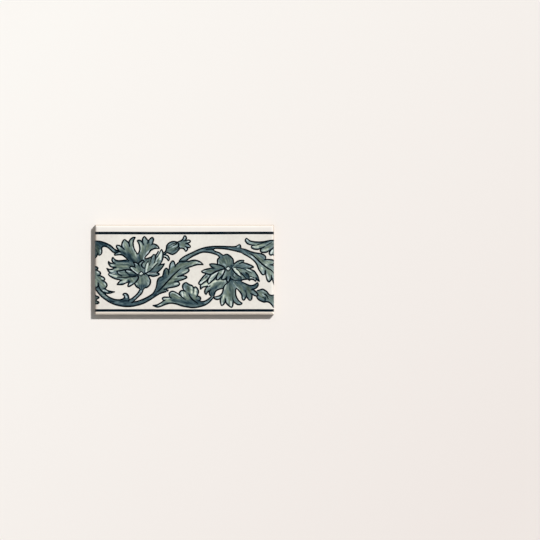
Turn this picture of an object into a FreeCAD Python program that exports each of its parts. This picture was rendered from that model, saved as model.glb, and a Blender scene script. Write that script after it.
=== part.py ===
"""Border tile: a pressed and glazed wall tile with a cushioned face edge and a keyed back, in millimetres.

The tile lies on its back: +X runs along its length, +Y up the decoration, +Z out of the glazed face.
"""
import FreeCAD, Part
import os

import Sketcher

# Driving sizes, in millimetres, the draft in degrees
SIZES = [
    ("tile_length", 152.0),
    ("tile_height", 76.0),
    ("tile_thickness", 8.0),
    ("cushion_radius", 2.5),
    ("back_arris", 0.6),
    ("groove_width", 5.0),
    ("groove_depth", 0.8),
    ("groove_pitch", 9.0),
    ("groove_draft", 20.0),
    ("groove_end_margin", 8.0),
    ("groove_side_margin", 6.0),
]

TOLERANCE = 1e-6

doc = FreeCAD.newDocument("border_tile")

sheet = doc.addObject("Spreadsheet::Sheet", "Sizes")
for row, (alias, value) in enumerate(SIZES, start=1):
    sheet.set("A%d" % row, alias)
    sheet.set("B%d" % row, str(value))
    sheet.setAlias("B%d" % row, alias)
doc.recompute()

body = doc.addObject("PartDesign::Body", "BorderTile")
body.Label = "border_tile"


def origin_feature(role):
    """Return the body's own origin plane or axis with this role."""
    for feature in body.Origin.OriginFeatures:
        if feature.Role == role:
            return feature
    raise RuntimeError("no origin feature named " + role)


def edges_at_height(shape, height):
    """Name the straight edges that lie wholly at one height."""
    names = []
    for number, edge in enumerate(shape.Edges, start=1):
        if all(abs(vertex.Z - height) < TOLERANCE for vertex in edge.Vertexes):
            names.append("Edge%d" % number)
    return names


def base_sketch(name):
    """Start a sketch on the plane of the tile's back."""
    sketch = body.newObject("Sketcher::SketchObject", name)
    sketch.AttachmentSupport = [(origin_feature("XY_Plane"), "")]
    sketch.MapMode = "FlatFace"
    return sketch


def add_rectangle(sketch, low, high):
    """Draw four joined lines, bottom, right, top and left, square to the axes."""
    corners = [
        FreeCAD.Vector(low[0], low[1], 0),
        FreeCAD.Vector(high[0], low[1], 0),
        FreeCAD.Vector(high[0], high[1], 0),
        FreeCAD.Vector(low[0], high[1], 0),
    ]
    for index in range(4):
        sketch.addGeometry(Part.LineSegment(corners[index], corners[(index + 1) % 4]), False)
    for index in range(4):
        sketch.addConstraint(Sketcher.Constraint("Coincident", index, 2, (index + 1) % 4, 1))
    for index, direction in enumerate(["Horizontal", "Vertical", "Horizontal", "Vertical"]):
        sketch.addConstraint(Sketcher.Constraint(direction, index))


def add_distance(sketch, name, expression, *place):
    """Add a distance constraint, name it and bind it to the sheet."""
    index = sketch.addConstraint(Sketcher.Constraint(*place))
    sketch.renameConstraint(index, name)
    sketch.setExpression("Constraints." + name, expression)


start = dict(SIZES)

# Outline of the tile, centred on the origin, and its pressed body
outline = base_sketch("TileOutline")
half_length = start["tile_length"] / 2
half_height = start["tile_height"] / 2
add_rectangle(outline, (-half_length, -half_height), (half_length, half_height))
outline.addConstraint(Sketcher.Constraint("Symmetric", 0, 1, 1, 2, -1, 1))
add_distance(outline, "length", "Sizes.tile_length", "DistanceX", 0, 1, 0, 2, start["tile_length"])
add_distance(outline, "height", "Sizes.tile_height", "DistanceY", 1, 1, 1, 2, start["tile_height"])

slab = body.newObject("PartDesign::Pad", "TileSlab")
slab.Profile = outline
slab.setExpression("Length", "Sizes.tile_thickness")
doc.recompute()

# Cushioned edge that rolls the glazed face over into the four sides
cushion = body.newObject("PartDesign::Fillet", "CushionEdge")
cushion.Base = (slab, edges_at_height(slab.Shape, start["tile_thickness"]))
cushion.setExpression("Radius", "Sizes.cushion_radius")
doc.recompute()

# Broken arris round the back
arris = body.newObject("PartDesign::Chamfer", "BackArris")
arris.Base = (cushion, edges_at_height(cushion.Shape, 0.0))
arris.setExpression("Size", "Sizes.back_arris")
doc.recompute()

# Keying grooves pressed into the back: as many as the height takes, spread evenly about the middle
GROOVE_COUNT = "(floor((Sizes.tile_height - 2 * Sizes.groove_side_margin - Sizes.groove_width)"
GROOVE_COUNT += " / Sizes.groove_pitch) + 1)"
first_groove = "(" + GROOVE_COUNT + " - 1) * Sizes.groove_pitch / 2"

room = start["tile_height"] - 2 * start["groove_side_margin"] - start["groove_width"]
start_offset = room // start["groove_pitch"] * start["groove_pitch"] / 2
groove_half_length = half_length - start["groove_end_margin"]
groove_half_width = start["groove_width"] / 2

groove_sketch = base_sketch("GrooveMouth")
add_rectangle(
    groove_sketch,
    (-groove_half_length, start_offset - groove_half_width),
    (groove_half_length, start_offset + groove_half_width),
)
add_distance(
    groove_sketch, "far_end", "Sizes.tile_length / 2 - Sizes.groove_end_margin",
    "DistanceX", -1, 1, 1, 1, groove_half_length,
)
add_distance(
    groove_sketch, "length", "Sizes.tile_length - 2 * Sizes.groove_end_margin",
    "DistanceX", 0, 1, 0, 2, 2 * groove_half_length,
)
add_distance(
    groove_sketch, "width", "Sizes.groove_width",
    "DistanceY", 1, 1, 1, 2, start["groove_width"],
)
add_distance(
    groove_sketch, "far_side", first_groove + " + Sizes.groove_width / 2",
    "DistanceY", -1, 1, 1, 2, start_offset + groove_half_width,
)

volume_before = arris.Shape.Volume
groove = body.newObject("PartDesign::Pocket", "KeyingGroove")
groove.Profile = groove_sketch
groove.Reversed = True
groove.setExpression("Length", "Sizes.groove_depth")
groove.setExpression("TaperAngle", "-Sizes.groove_draft")
doc.recompute()
if not groove.Shape.Volume < volume_before - TOLERANCE:
    raise RuntimeError("the keying groove cuts nothing")

grooves = body.newObject("PartDesign::LinearPattern", "KeyingGrooves")
grooves.Originals = [groove]
grooves.Direction = (origin_feature("Y_Axis"), [""])
grooves.Reversed = True
grooves.Mode = "Spacing"
grooves.setExpression("Offset", "Sizes.groove_pitch")
grooves.setExpression("Occurrences", GROOVE_COUNT)
body.Tip = grooves
doc.recompute()

# Nothing is written unless every object is sound
for thing in doc.Objects:
    if "Invalid" in thing.State or "Error" in thing.State:
        raise RuntimeError(thing.Label + " is not valid")
if body.Shape.isNull() or not body.Shape.isValid() or len(body.Shape.Solids) != 1:
    raise RuntimeError("the tile is not one sound solid")

os.makedirs("parts", exist_ok=True)
body.Shape.exportStep("parts/" + body.Label + ".step")
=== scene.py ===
"""Border tile: the pressed body from the frame, with its glaze and its painted frieze, in metres."""
import math

import bpy
import numpy as np
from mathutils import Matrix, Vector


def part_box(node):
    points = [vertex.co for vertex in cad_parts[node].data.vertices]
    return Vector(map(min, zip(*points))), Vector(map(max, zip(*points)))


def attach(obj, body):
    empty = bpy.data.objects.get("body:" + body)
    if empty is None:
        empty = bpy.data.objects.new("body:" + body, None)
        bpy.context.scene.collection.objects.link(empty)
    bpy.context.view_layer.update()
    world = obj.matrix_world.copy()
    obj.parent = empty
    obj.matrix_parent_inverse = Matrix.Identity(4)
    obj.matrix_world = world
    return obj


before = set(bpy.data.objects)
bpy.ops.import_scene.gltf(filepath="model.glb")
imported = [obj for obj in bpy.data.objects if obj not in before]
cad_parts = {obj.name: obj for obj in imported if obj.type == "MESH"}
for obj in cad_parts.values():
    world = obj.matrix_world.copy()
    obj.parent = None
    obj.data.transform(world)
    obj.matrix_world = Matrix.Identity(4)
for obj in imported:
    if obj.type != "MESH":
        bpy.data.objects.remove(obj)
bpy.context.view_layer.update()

MM = 0.001

# Sizes of the tile: its box from the frame, and the radius of its cushioned edge
tile_low, tile_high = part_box("border_tile")
TILE_LENGTH = tile_high.x - tile_low.x
FACE_HEIGHT = tile_high.z
CUSHION_RADIUS = 2.5 * MM
CUSHION_START = tile_high.x - CUSHION_RADIUS

# The frieze is drawn on a sheet ruled in squares, counted right and down: this many to the tile's length,
# with the tile's middle at this point
SQUARES_ALONG = 179.55
SHEET_MIDDLE = (184.28, 269.72)
SQUARE = TILE_LENGTH / SQUARES_ALONG

# Paint: each layer lies a hair above the one before it, and an ink line just above its own layer
FIRST_LAYER = 0.03 * MM
LAYER_STEP = 0.02 * MM
PAINT_DEPTH = 0.05 * MM
INK_RISE = 0.004 * MM
# Lines are rods pressed nearly flat
INK_HALF_WIDTH = 0.65 * MM
INK_FLATNESS = 0.022
RULE_HALF_WIDTH = 1.1 * MM
RULE_FLATNESS = 0.012
# Paint rolls this far over the cushioned ends, cut into narrow strips, and washes are cut into small squares
PAINT_REACH_DEGREES = 72
WRAP_STEP_DEGREES = 6
CELL = 0.42 * MM

# How a point of an outline is drawn: a lit tip, a dark notch, a plain corner, or a corner that no ink leaves
TIP = "tip"
NOTCH = "notch"
CORNER = "corner"
BARE = "bare"
# The first point of a vein that starts as thick as an outline, and of a midrib, which is thickest midway
BOLD = "bold"
MIDRIB = "midrib"
# The colours of the washes, from slate blue to sage green
BLUE = 0.0
GREY = 0.5
SAGE = 1.0


class Patch:
    """One painted shape of the frieze.

    layer: which coat it belongs to; tone and colour: its wash, tone 0 dark to 1 pale; outline: its edge,
    inked but for BARE runs; veins: ink lines inside it; strokes: the brushwork, each a tone, a colour,
    a half width in squares and its points.
    """

    def __init__(self, layer, tone, colour, outline, veins=(), strokes=()):
        self.layer = layer
        self.tone = tone
        self.colour = colour
        self.outline = outline
        self.veins = veins
        self.strokes = strokes


# The drawing, shape by shape
STEMS = [
    Patch(0, 0.32, BLUE, [
        (92, 284.5, CORNER), (96.4, 290.4), (100.2, 295.2), (105.2, 299.3), (112, 303.3), (119.9, 305.7),
        (128.8, 306.5), (136.5, 305.4), (143.3, 303.3), (149.8, 299.9), (155.1, 296.5),
        (160, 293.6, BARE), (158.5, 289, BARE), (155.6, 288.6, CORNER), (153.3, 293), (149.2, 296.2),
        (143.3, 299.2), (137.4, 301.2), (133, 302, NOTCH), (137.4, 297.4), (141.8, 293),
        (143.6, 288.8, BARE), (140.1, 288.9, CORNER), (137.7, 293.3), (133, 297.7), (129.2, 299.8, NOTCH),
        (128.4, 295.9), (127.3, 294.3), (125.5, 293.4), (123.8, 293.6), (122.5, 294.7, TIP),
        (124.4, 295.8), (124.3, 297.4), (122.9, 298.9), (117, 299.8), (111.1, 298.2), (106.4, 295.4),
        (103.2, 292.4), (101.1, 290.7), (99.4, 288), (98.2, 285.2, BARE),
    ], [
        [(131.1, 302.7), (132.4, 301.9), (133.6, 300.9)],
    ], [
        (0.46, BLUE, 1.2, (107, 298), (114, 301.5), (122, 303.6)),
        (0.62, GREY, 1.2, (99.5, 291), (103, 294.6), (106.5, 297.2)),
        (0.14, BLUE, 1.0, (110, 300.4), (113.4, 301.8)),
        (0.12, BLUE, 0.8, (120.5, 301.5), (128, 300.4)),
        (0.9, BLUE, 0.8, (125.4, 295), (126.6, 297.6)),
        (0.76, BLUE, 0.75, (141.4, 291), (138.2, 295), (134.6, 298.2)),
        (0.34, BLUE, 1.2, (138, 303.2), (147.5, 299.4), (153, 295.8)),
        (0.16, BLUE, 1.0, (154.6, 295.2), (158, 292.6)),
    ]),
    Patch(0, 0.28, BLUE, [
        (92, 240.8, CORNER), (95, 241), (99.9, 241.4), (103.2, 242.3), (107.9, 244.2), (110.8, 245.8),
        (114.4, 249.1), (117.5, 250.7), (119.8, 251.6, TIP), (117, 252.4), (114.6, 252.8), (109.6, 248.8),
        (107.3, 247.1), (104.9, 246.3), (102.7, 246.7), (101.6, 248.6), (101.9, 251.1), (101.4, 253.5),
        (100.3, 254.8), (99.2, 255.5, TIP), (97.8, 254.4, NOTCH), (96.4, 256.4), (92, 260.5, CORNER),
    ], (), [
        (0.26, SAGE, 1.8, (97, 246.5), (97.8, 253.6)),
        (0.22, BLUE, 1.5, (99, 243.4), (105.5, 245.2)),
        (0.95, GREY, 0.6, (100.4, 250), (100.4, 253.4)),
        (0.68, BLUE, 0.75, (107.5, 246.3), (111, 248.4), (114.4, 250.8)),
        (0.05, BLUE, 0.8, (115.4, 250.8), (118.6, 251.5)),
    ]),
    Patch(0, 0.36, BLUE, [
        (178.8, 262.4, CORNER), (179.7, 260.3), (183.5, 257), (188.2, 254.5), (192.9, 252.3),
        (197.6, 250.1), (204.8, 247.7), (212.5, 246.6), (221, 246.4), (229.8, 246.7), (233.6, 246.7),
        (236, 246.3), (239.6, 244.2, TIP), (240.5, 246), (241, 248.6, BARE), (241.6, 252.7, CORNER),
        (237.2, 251.4), (231.3, 249.9), (223.9, 248.7), (219.5, 248.4), (215.1, 248.5),
        (212.8, 249.4, NOTCH), (215.1, 251.3), (219.5, 253), (223.4, 255.5, BARE), (219.8, 257.6, CORNER),
        (217.8, 255.4), (213.6, 253.6), (207.8, 252.3), (201.9, 252.3), (197.1, 254.2), (192.4, 256.4),
        (187.6, 259.6), (185.9, 260.9, BARE), (182.5, 261.6, BARE),
    ], [
        [(205.7, 249.5), (209, 249.6), (212.8, 249.4)],
    ], [
        (0.58, GREY, 1.0, (182.6, 259.6), (190, 255.2), (197, 251.6)),
        (0.5, BLUE, 0.8, (186.8, 257), (189.2, 255.8)),
        (0.52, BLUE, 0.9, (197.5, 251.4), (203, 250.4)),
        (0.42, BLUE, 0.7, (204, 250.8), (212.6, 251.2)),
        (0.55, BLUE, 0.7, (213.4, 252), (216.6, 253)),
        (0.74, BLUE, 0.7, (217.2, 253.4), (219.2, 254.4)),
        (0.52, BLUE, 0.9, (219.8, 255), (221.6, 256.4)),
        (0.24, BLUE, 0.8, (205.4, 248.3), (212.8, 248)),
        (0.36, BLUE, 0.65, (214, 247.6), (222, 247.5), (228, 247.8)),
        (0.66, BLUE, 0.6, (229, 248.2), (232.2, 248.6)),
        (0.46, BLUE, 0.8, (233, 248.9), (237, 249.6)),
        (0.3, BLUE, 1.0, (238.2, 250.2), (241, 250.8)),
        (0.76, BLUE, 0.55, (237.6, 247), (239, 245.9)),
    ]),
]

EDGE_LEAVES = [
    Patch(1, 0.5, GREY, [
        (92, 265.5, CORNER), (94.6, 266.3), (96.6, 267), (97.9, 268.3), (97.2, 269.3), (96, 270, NOTCH),
        (98.8, 271.3), (100.2, 272.6), (100.5, 274), (99.4, 275.4, NOTCH), (102.9, 277), (104.6, 278.8),
        (104.4, 280), (103.4, 280.8, NOTCH), (105.5, 282.3), (106.7, 283.9), (106.9, 285.6),
        (106.2, 287.2), (105.2, 288.5, NOTCH), (106.7, 290.1), (110.8, 291.4), (115, 291.8, TIP),
        (108.5, 293.4), (106.1, 293.1), (103.8, 292.4), (101.7, 290.9), (100.2, 289.2), (99.2, 287.4),
        (98.3, 284.3, NOTCH), (97.9, 286.2), (96.4, 287.6), (94.6, 287.6), (92, 287, CORNER),
    ], (), [
        (0.42, GREY, 1.5, (95, 268), (97.4, 270.6)),
        (0.95, GREY, 0.7, (97.4, 272), (98.9, 272.6)),
        (0.45, SAGE, 1.0, (98.6, 277.6), (102.4, 279.8)),
        (0.95, GREY, 0.6, (101.8, 278.2), (103.2, 278.9)),
        (0.55, SAGE, 1.3, (101, 283), (105, 286.6)),
        (0.9, GREY, 0.6, (104.4, 283.4), (105.6, 285)),
        (0.95, BLUE, 0.6, (103.2, 290.4), (107.6, 291.5)),
        (0.0, BLUE, 0.8, (109, 292.2), (114, 291.9)),
        (0.72, SAGE, 0.9, (95.7, 279.6), (96.6, 285)),
        (0.14, GREY, 0.7, (98.4, 283.6), (99, 287.4)),
    ]),
    Patch(1, 0.28, SAGE, [
        (92, 292, CORNER), (95.2, 295.4), (96.4, 296.1), (98.4, 296.9), (98.9, 297.6), (97.9, 298.4),
        (95.6, 300.3, NOTCH), (97.3, 301.4), (98.8, 302.4), (98.2, 303.3), (95.2, 303.7),
        (92, 303.9, CORNER),
    ], (), [
        (0.52, SAGE, 0.7, (95.8, 297.5), (97.6, 297.5)),
        (0.52, SAGE, 0.6, (96, 302.6), (97.8, 302.6)),
    ]),
]

CENTRE_LEAF = [
    Patch(2, 0.52, GREY, [
        (155.6, 288.6, CORNER), (156.5, 286.2), (157.4, 280.9), (158.3, 278.8), (159.6, 277.6),
        (162.4, 276.4, NOTCH), (163.3, 273.9), (164.6, 269.7), (166.2, 267.9, TIP), (167.4, 269),
        (168.8, 271, NOTCH), (169.3, 268.8), (169.7, 265.8), (170.6, 263.2), (171.8, 261.5), (172.9, 261),
        (174.1, 262), (174.7, 263.8), (175.4, 265.7, NOTCH), (177.6, 263.4), (179.5, 261.8, CORNER),
        (182.5, 261.2), (185.9, 261.1, CORNER), (188.2, 261.3), (192.9, 260.3), (195.9, 260.4),
        (200.6, 262.2), (203.4, 264.7, TIP), (200.6, 264.5), (197.6, 264.6), (191.8, 266.3),
        (187.2, 268.1, NOTCH), (188.6, 269), (189, 270.4), (188.2, 271.6), (184.4, 274.1),
        (178.8, 276.3, NOTCH), (185, 276.1), (186.8, 277.2), (185.3, 278.4), (180.6, 280.3),
        (175.9, 281.5, NOTCH), (178.2, 282), (179.5, 283.6), (178.8, 285.1), (174.7, 286.8),
        (168.8, 287.9), (165.3, 289.3, NOTCH), (168.7, 290.3, TIP), (166.8, 291.2), (160, 293.5),
        (157.4, 294.9, BARE),
    ], [
        [(156.5, 292.2, MIDRIB), (159.8, 289.8), (163.5, 285.9), (168.5, 280.4), (173.2, 275.4),
         (177.6, 271.2), (180.9, 268.4)],
        [(168.6, 270.5, BOLD), (168.4, 275.2)],
    ], [
        (0.28, BLUE, 3.0, (158.6, 288), (160.6, 281), (165, 277)),
        (0.26, BLUE, 1.2, (156.8, 292.4), (160, 290)),
        (0.24, BLUE, 1.5, (165.6, 270.4), (164.8, 275.6)),
        (0.38, SAGE, 0.7, (166.8, 270), (167, 273.6)),
        (0.55, BLUE, 0.9, (166.4, 281), (170, 276.6), (173.6, 272.6)),
        (0.44, SAGE, 1.3, (172.8, 268.4), (171.4, 272.4)),
        (0.76, BLUE, 0.7, (171.8, 263.4), (171.6, 267.6)),
        (0.76, BLUE, 0.6, (173.2, 262.4), (173.4, 265.2)),
        (0.48, SAGE, 1.4, (176.4, 267), (181, 264.8), (184.8, 263.6)),
        (0.42, GREY, 1.0, (182.6, 268), (185.6, 265.6)),
        (0.06, BLUE, 0.9, (180, 261.6), (187.4, 261.4)),
        (0.55, SAGE, 1.0, (187.6, 263.4), (193, 263.2)),
        (0.7, SAGE, 0.9, (193.4, 262.9), (196, 262.7)),
        (0.88, GREY, 0.8, (196.6, 262.6), (201, 263.4)),
        (0.62, GREY, 0.6, (189.4, 265.4), (193.4, 264.6)),
        (0.6, BLUE, 1.0, (178.6, 271.8), (182.4, 270.4)),
        (0.78, SAGE, 0.9, (182.6, 272.8), (187.4, 270.6)),
        (0.05, BLUE, 0.6, (178.4, 276), (184, 274.8)),
        (0.62, SAGE, 0.8, (172.8, 277.6), (177.4, 274.8)),
        (0.78, GREY, 0.9, (176, 277.8), (184.6, 277.2)),
        (0.44, SAGE, 0.9, (171.4, 279.6), (176.6, 278.8)),
        (0.58, SAGE, 0.9, (168.6, 282), (173.4, 280.6)),
        (0.32, SAGE, 0.8, (168.6, 283.4), (174, 282.6)),
        (0.95, GREY, 0.7, (174.4, 284.2), (178, 283.4)),
        (0.56, GREY, 0.9, (165.6, 286.2), (174.4, 286)),
        (0.74, BLUE, 0.5, (165.4, 290.4), (167.2, 290.4)),
        (0.36, GREY, 1.0, (161, 291.4), (164.4, 288.6)),
    ]),
]

BOTTOM_LEAF = [
    Patch(1, 0.48, GREY, [
        (152.6, 305.4, TIP), (155.1, 306.5), (157.4, 307.1), (160.1, 306.5), (165.5, 304.4),
        (170.3, 303.2), (176.5, 304), (181.8, 305.8), (188.8, 307.1), (192.9, 307.6), (200.6, 306.4),
        (204.7, 305.1), (208.4, 302.9), (211.9, 299.4), (213.2, 297.4, BARE), (211.4, 296.6, CORNER),
        (208.4, 299), (206, 300.6), (203.6, 301.5), (201, 301.4), (199.6, 300.6, NOTCH), (200.4, 299.5),
        (200.6, 298), (199.1, 296.5), (197.4, 295.8, NOTCH), (198.5, 292.1), (198.2, 290.1),
        (197.1, 288.3), (195.6, 287), (193.8, 287.4, NOTCH), (191.8, 285.4), (189.7, 284.8),
        (187.6, 283.4), (185.9, 282.3, TIP), (184.4, 283.2), (182.9, 284.8), (182.5, 286.8),
        (184.2, 290.6, NOTCH), (181.8, 290.5), (180.3, 291.4), (179.4, 292.6), (179.1, 294.4, NOTCH),
        (175, 292), (172.6, 291.3), (170.9, 291.7), (169.4, 293.2), (169.3, 295.1), (170, 297.2, NOTCH),
        (166.2, 297.2), (163.6, 297.4), (162.4, 298.4), (163.8, 300.6, NOTCH), (160.6, 303),
        (157.2, 304.8),
    ], [
        [(179.1, 294.4, BOLD), (180.6, 295.5), (182.1, 297.1), (185.8, 299.9)],
        [(184.2, 290.6), (185.6, 292)],
        [(188.5, 293.5, MIDRIB), (190.6, 297.4), (193.8, 300.6), (198.2, 303.8)],
        [(193.8, 287.6), (193.7, 293)],
    ], [
        (0.22, BLUE, 2.3, (174, 301.6), (184, 302.6), (196, 303.6)),
        (0.62, GREY, 0.7, (170.6, 302), (178, 303), (184.6, 304.6)),
        (0.42, BLUE, 0.6, (186, 305.4), (197, 305.8)),
        (0.34, BLUE, 0.8, (189.6, 301), (193.4, 301.6)),
        (0.02, BLUE, 1.0, (153.6, 305.5), (156, 305.8)),
        (0.92, GREY, 0.7, (158.2, 305.2), (160.8, 304.4)),
        (0.66, GREY, 0.8, (161.4, 304), (164.4, 302)),
        (0.94, SAGE, 0.8, (164, 298.6), (169, 298.6)),
        (0.6, SAGE, 1.0, (164.6, 300.6), (169.6, 300.8)),
        (0.46, SAGE, 1.5, (172.6, 295), (178.4, 297.6)),
        (0.84, GREY, 0.6, (170.6, 293.4), (172.6, 292.4), (176, 293.6), (179.6, 296.6)),
        (0.95, GREY, 0.9, (182, 292.2), (182.8, 296)),
        (0.86, SAGE, 0.8, (184.6, 292.4), (185.4, 296)),
        (0.6, SAGE, 1.0, (185.8, 296.6), (188, 298.6)),
        (0.5, BLUE, 0.9, (185.4, 284.4), (186, 287.8)),
        (0.78, BLUE, 0.5, (184.4, 286.4), (184.8, 289.6)),
        (0.34, SAGE, 0.9, (188, 286.4), (189, 291.6)),
        (0.86, SAGE, 1.0, (191.4, 286.8), (191.6, 292.6)),
        (0.36, BLUE, 0.8, (189, 293), (191, 296.4)),
        (0.94, SAGE, 1.1, (195.6, 288.8), (195.4, 294)),
        (0.5, SAGE, 0.9, (194, 295.4), (195, 298.6)),
        (0.5, BLUE, 0.7, (198.6, 297.4), (198.8, 299.8)),
        (0.2, BLUE, 1.4, (196, 301.5), (203, 303.6)),
        (0.52, BLUE, 0.7, (204.6, 302.8), (207.6, 301.2), (210.6, 298.8)),
    ]),
]

RIGHT_LEAVES = [
    Patch(1, 0.52, GREY, [
        (246.4, 238, TIP), (248.4, 239.7), (250.4, 241), (253.4, 241.7), (256.3, 242), (263.4, 241.8),
        (268.9, 240.7), (272.2, 240.3), (276.5, 240.3, CORNER), (276.5, 257.5, CORNER), (272.8, 254.7),
        (270.7, 255), (269.5, 253.9), (269.5, 252.2), (272.6, 248.3, NOTCH), (268.4, 251.1),
        (266.3, 252.2), (263.9, 252.4), (261.6, 252.1), (260.4, 250.8), (260.8, 249.3),
        (263.4, 247.3, NOTCH), (259.5, 248.8), (257.5, 249.4), (255.1, 249.2), (252.8, 248.5),
        (251.6, 247.5), (251.6, 246.4), (252.9, 245.3, NOTCH), (249.2, 244.4), (247.5, 243.6), (246, 242),
        (245.3, 240.2),
    ], [
        [(257.3, 244.6), (262.2, 243.2), (266, 241.5)],
        [(266.3, 245.4), (269.2, 243.8), (271.8, 242.2)],
    ], [
        (0.94, BLUE, 0.7, (246.8, 240), (248, 241.2)),
        (0.68, GREY, 0.9, (248.8, 242.2), (253, 243.2)),
        (0.56, SAGE, 0.9, (253.4, 243.8), (257, 243.8)),
        (0.48, BLUE, 0.8, (256.4, 242.6), (262.4, 242.4)),
        (0.08, BLUE, 0.8, (263, 242.2), (267, 241.6)),
        (0.62, BLUE, 0.6, (267, 243.1), (271, 241.5)),
        (0.56, BLUE, 0.9, (264, 245), (267, 245.8)),
        (0.74, SAGE, 0.8, (257.6, 245.8), (264, 244.9)),
        (1.0, SAGE, 0.6, (252.4, 246.5), (254, 246.7)),
        (0.94, SAGE, 0.8, (254.6, 247.2), (258.2, 247)),
        (0.7, SAGE, 0.6, (255, 248.4), (258, 248.3)),
        (0.8, SAGE, 1.0, (261.8, 250.8), (267.6, 249.4)),
        (0.58, SAGE, 0.9, (265, 248), (269, 246.8)),
        (0.48, GREY, 1.0, (270, 245.4), (273.6, 244.4)),
        (0.97, GREY, 0.8, (270.8, 253.4), (272.4, 250.4)),
    ]),
    Patch(1, 0.63, GREY, [
        (240.6, 248.4, CORNER), (245.1, 249.4), (250.4, 251.5), (256.9, 253.2), (260.1, 253.6),
        (262.8, 254.4), (264.5, 255.4), (265.7, 257), (265.6, 259.4, NOTCH), (270.7, 259.7),
        (273.4, 260.4), (274.6, 262, TIP), (273.6, 263.8), (271.4, 264.9, NOTCH), (276.5, 266.5, CORNER),
        (276.5, 288, CORNER), (274.6, 285), (273.4, 282.1), (271.5, 276.5, NOTCH), (271.4, 279),
        (270.4, 280.7), (268.9, 281.7), (267.5, 280.6), (266.6, 278.3), (265.4, 271.8, NOTCH),
        (264.8, 274), (263.1, 274.7), (261.6, 273.6), (260.4, 271.8), (258.9, 269.4), (256.6, 264),
        (253.4, 260.1), (249.2, 257), (243.9, 254.1), (241.6, 252.8, BARE),
    ], [
        [(249.2, 253.5, MIDRIB), (252.8, 255.2), (255.6, 257.8), (258.1, 260.2), (262.8, 264.6),
         (268.1, 268.4), (271, 270), (274, 273.5)],
    ], [
        (0.32, BLUE, 1.3, (241.4, 250.2), (247, 251.6), (253, 254)),
        (0.46, BLUE, 0.7, (242.6, 251.6), (248, 254)),
        (0.78, BLUE, 0.7, (252, 256.8), (255.6, 259.6), (258, 263)),
        (0.72, SAGE, 0.8, (257.2, 264), (259.8, 268), (261.6, 271.4)),
        (0.78, BLUE, 0.7, (259.4, 262.6), (262.8, 266)),
        (0.9, SAGE, 0.7, (261.6, 267.6), (262.4, 270.4)),
        (0.86, BLUE, 0.7, (263, 270.6), (263.2, 273.2)),
        (0.54, SAGE, 1.0, (255, 255.2), (258.4, 256.4)),
        (0.5, BLUE, 1.0, (258.6, 255.6), (262.4, 256.8)),
        (0.38, SAGE, 1.2, (258.8, 258.2), (263, 260.8)),
        (0.5, BLUE, 0.9, (263.8, 257.2), (264.6, 260.4)),
        (0.66, SAGE, 1.2, (266.2, 261.8), (272, 262)),
        (0.84, GREY, 0.6, (265.8, 264.6), (268, 265.6)),
        (0.62, GREY, 1.1, (268.4, 266), (273, 268.4)),
        (0.66, SAGE, 1.4, (266.6, 269), (270.6, 275.4)),
        (0.9, GREY, 0.7, (267.2, 274.4), (268.6, 279.6)),
        (0.5, SAGE, 0.6, (269, 271.4), (269.6, 275)),
        (0.64, GREY, 0.9, (272.4, 276.6), (273.8, 281.6)),
        (0.02, BLUE, 0.6, (265.3, 271), (265, 273.4)),
    ]),
]

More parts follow.
